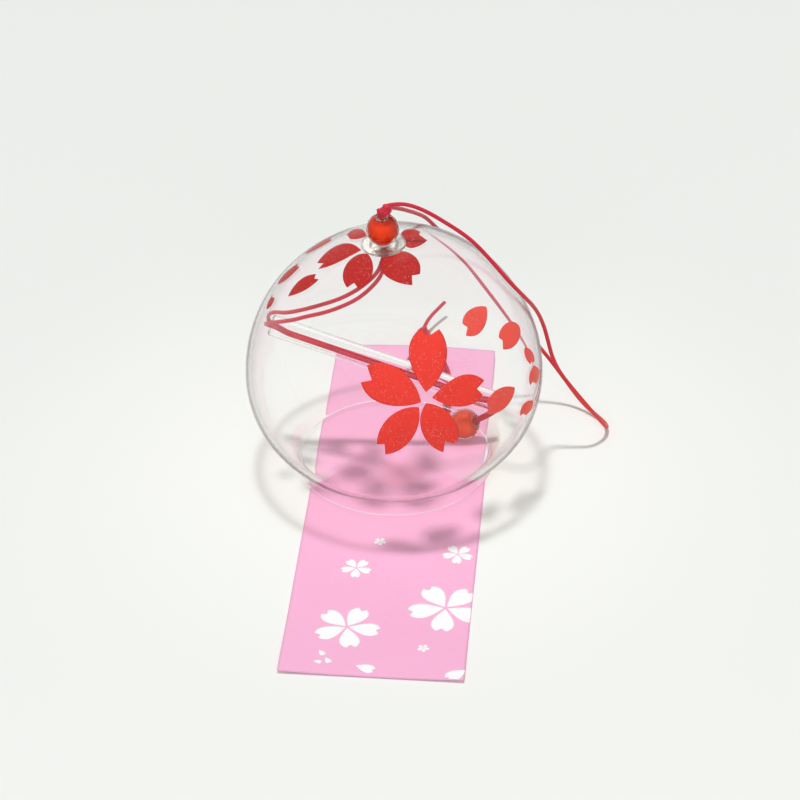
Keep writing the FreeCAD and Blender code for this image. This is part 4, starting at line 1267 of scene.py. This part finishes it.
class WINDBELL_OT_stage(Operator):
    """Set the table, the soft light and the camera"""
    bl_idname = "wind_bell.stage"
    bl_label = "Stage"

    def execute(self, context):
        kit, scene = context.scene.wind_bell, context.scene
        stage = kit.stage
        scene.view_settings.view_transform = "Standard"
        scene.world = white_room(stage)
        mesh = bpy.data.meshes.new("table_top")
        half, drop = 2.5, -0.06 * MM
        corners = [(x * half, y * half, drop) for x, y in ((-1, -1), (1, -1), (1, 1), (-1, 1))]
        mesh.from_pydata(corners, [], [(0, 1, 2, 3)])
        mesh.materials.append(table_material(stage))
        floor = bpy.data.objects.new("table_top", mesh)
        scene.collection.objects.link(floor)

        # The overhead lamps stand a little behind the bell and to its left. Only the window behind
        # shows as a spot on glass and plastic, and it lights nothing else.
        above = (-0.072, 0.082, 1.0)
        lamps = (("overhead_light", "SUN", above, 0.9, stage.lamp_strength, {"angle": stage.lamp_angle}),
                 ("pool", "SPOT", above, 0.9, stage.pool_power,
                  {"spot_size": stage.pool_angle, "spot_blend": 1.0,
                   "shadow_soft_size": 0.45 * stage.lamp_angle}),
                 ("window", "AREA", (-0.055, 0.653, 0.755), 1.0, stage.window_power,
                  {"size": 0.19, "size_y": 0.09}),
                 ("fill", "AREA", (0.07, -0.86, 0.50), 1.6, stage.fill_power,
                  {"size": 1.0, "size_y": 1.0}))
        for name, kind, way, far, power, shape in lamps:
            lamp = bpy.data.lights.new(name, kind)
            lamp.energy = power
            if kind == "AREA":
                lamp.shape = "ELLIPSE"
            for key, value in shape.items():
                setattr(lamp, key, value)
            holder = bpy.data.objects.new(name, lamp)
            holder.location = np.array(way) * far
            holder.rotation_euler = holder.location.to_track_quat("Z", "Y").to_euler()
            holder.visible_glossy = holder.visible_transmission = name == "window"
            holder.visible_diffuse = name != "window"
            scene.collection.objects.link(holder)

        lens = bpy.data.cameras.new("photo_camera")
        lens.lens, lens.sensor_width, lens.clip_end = stage.lens, SENSOR, 20
        camera = bpy.data.objects.new("photo_camera", lens)
        camera.location = camera_frame(kit)[0]
        camera.rotation_euler = (math.pi / 2 - stage.elevation, 0, stage.bearing)
        scene.collection.objects.link(camera)
        scene.camera = camera
        return {"FINISHED"}


STEPS = (WINDBELL_OT_stage, WINDBELL_OT_globe, WINDBELL_OT_washer, WINDBELL_OT_beads,
         WINDBELL_OT_clapper_tube, WINDBELL_OT_cord, WINDBELL_OT_knots, WINDBELL_OT_paper_strip,
         WINDBELL_OT_globe_prints, WINDBELL_OT_strip_prints)


class WINDBELL_PT_panel(Panel):
    """The wind bell's pieces in the sidebar"""
    bl_idname = "WINDBELL_PT_panel"
    bl_label = "Wind Bell"
    bl_space_type = "VIEW_3D"
    bl_region_type = "UI"
    bl_category = "Wind Bell"

    def draw(self, context):
        for step in STEPS:
            self.layout.operator(step.bl_idname)


CLASSES = (GlobeSettings, CrownSettings, BeadSettings, ClapperSettings, CordSettings, StripSettings,
           PrintSettings, StageSettings, WindBellSettings, *STEPS, WINDBELL_PT_panel)


def register():
    for item in CLASSES:
        bpy.utils.register_class(item)
    bpy.types.Scene.wind_bell = PointerProperty(type=WindBellSettings)


def unregister():
    del bpy.types.Scene.wind_bell
    for item in reversed(CLASSES):
        bpy.utils.unregister_class(item)


def main():
    register()
    bpy.ops.wind_bell.stage()
    bpy.ops.wind_bell.globe()
    bpy.ops.wind_bell.washer()
    bpy.ops.wind_bell.beads()
    bpy.ops.wind_bell.clapper_tube()
    bpy.ops.wind_bell.cord()
    bpy.ops.wind_bell.knots()
    bpy.ops.wind_bell.paper_strip()
    bpy.ops.wind_bell.globe_prints()
    bpy.ops.wind_bell.strip_prints()


if __name__ == "__main__":
    main()
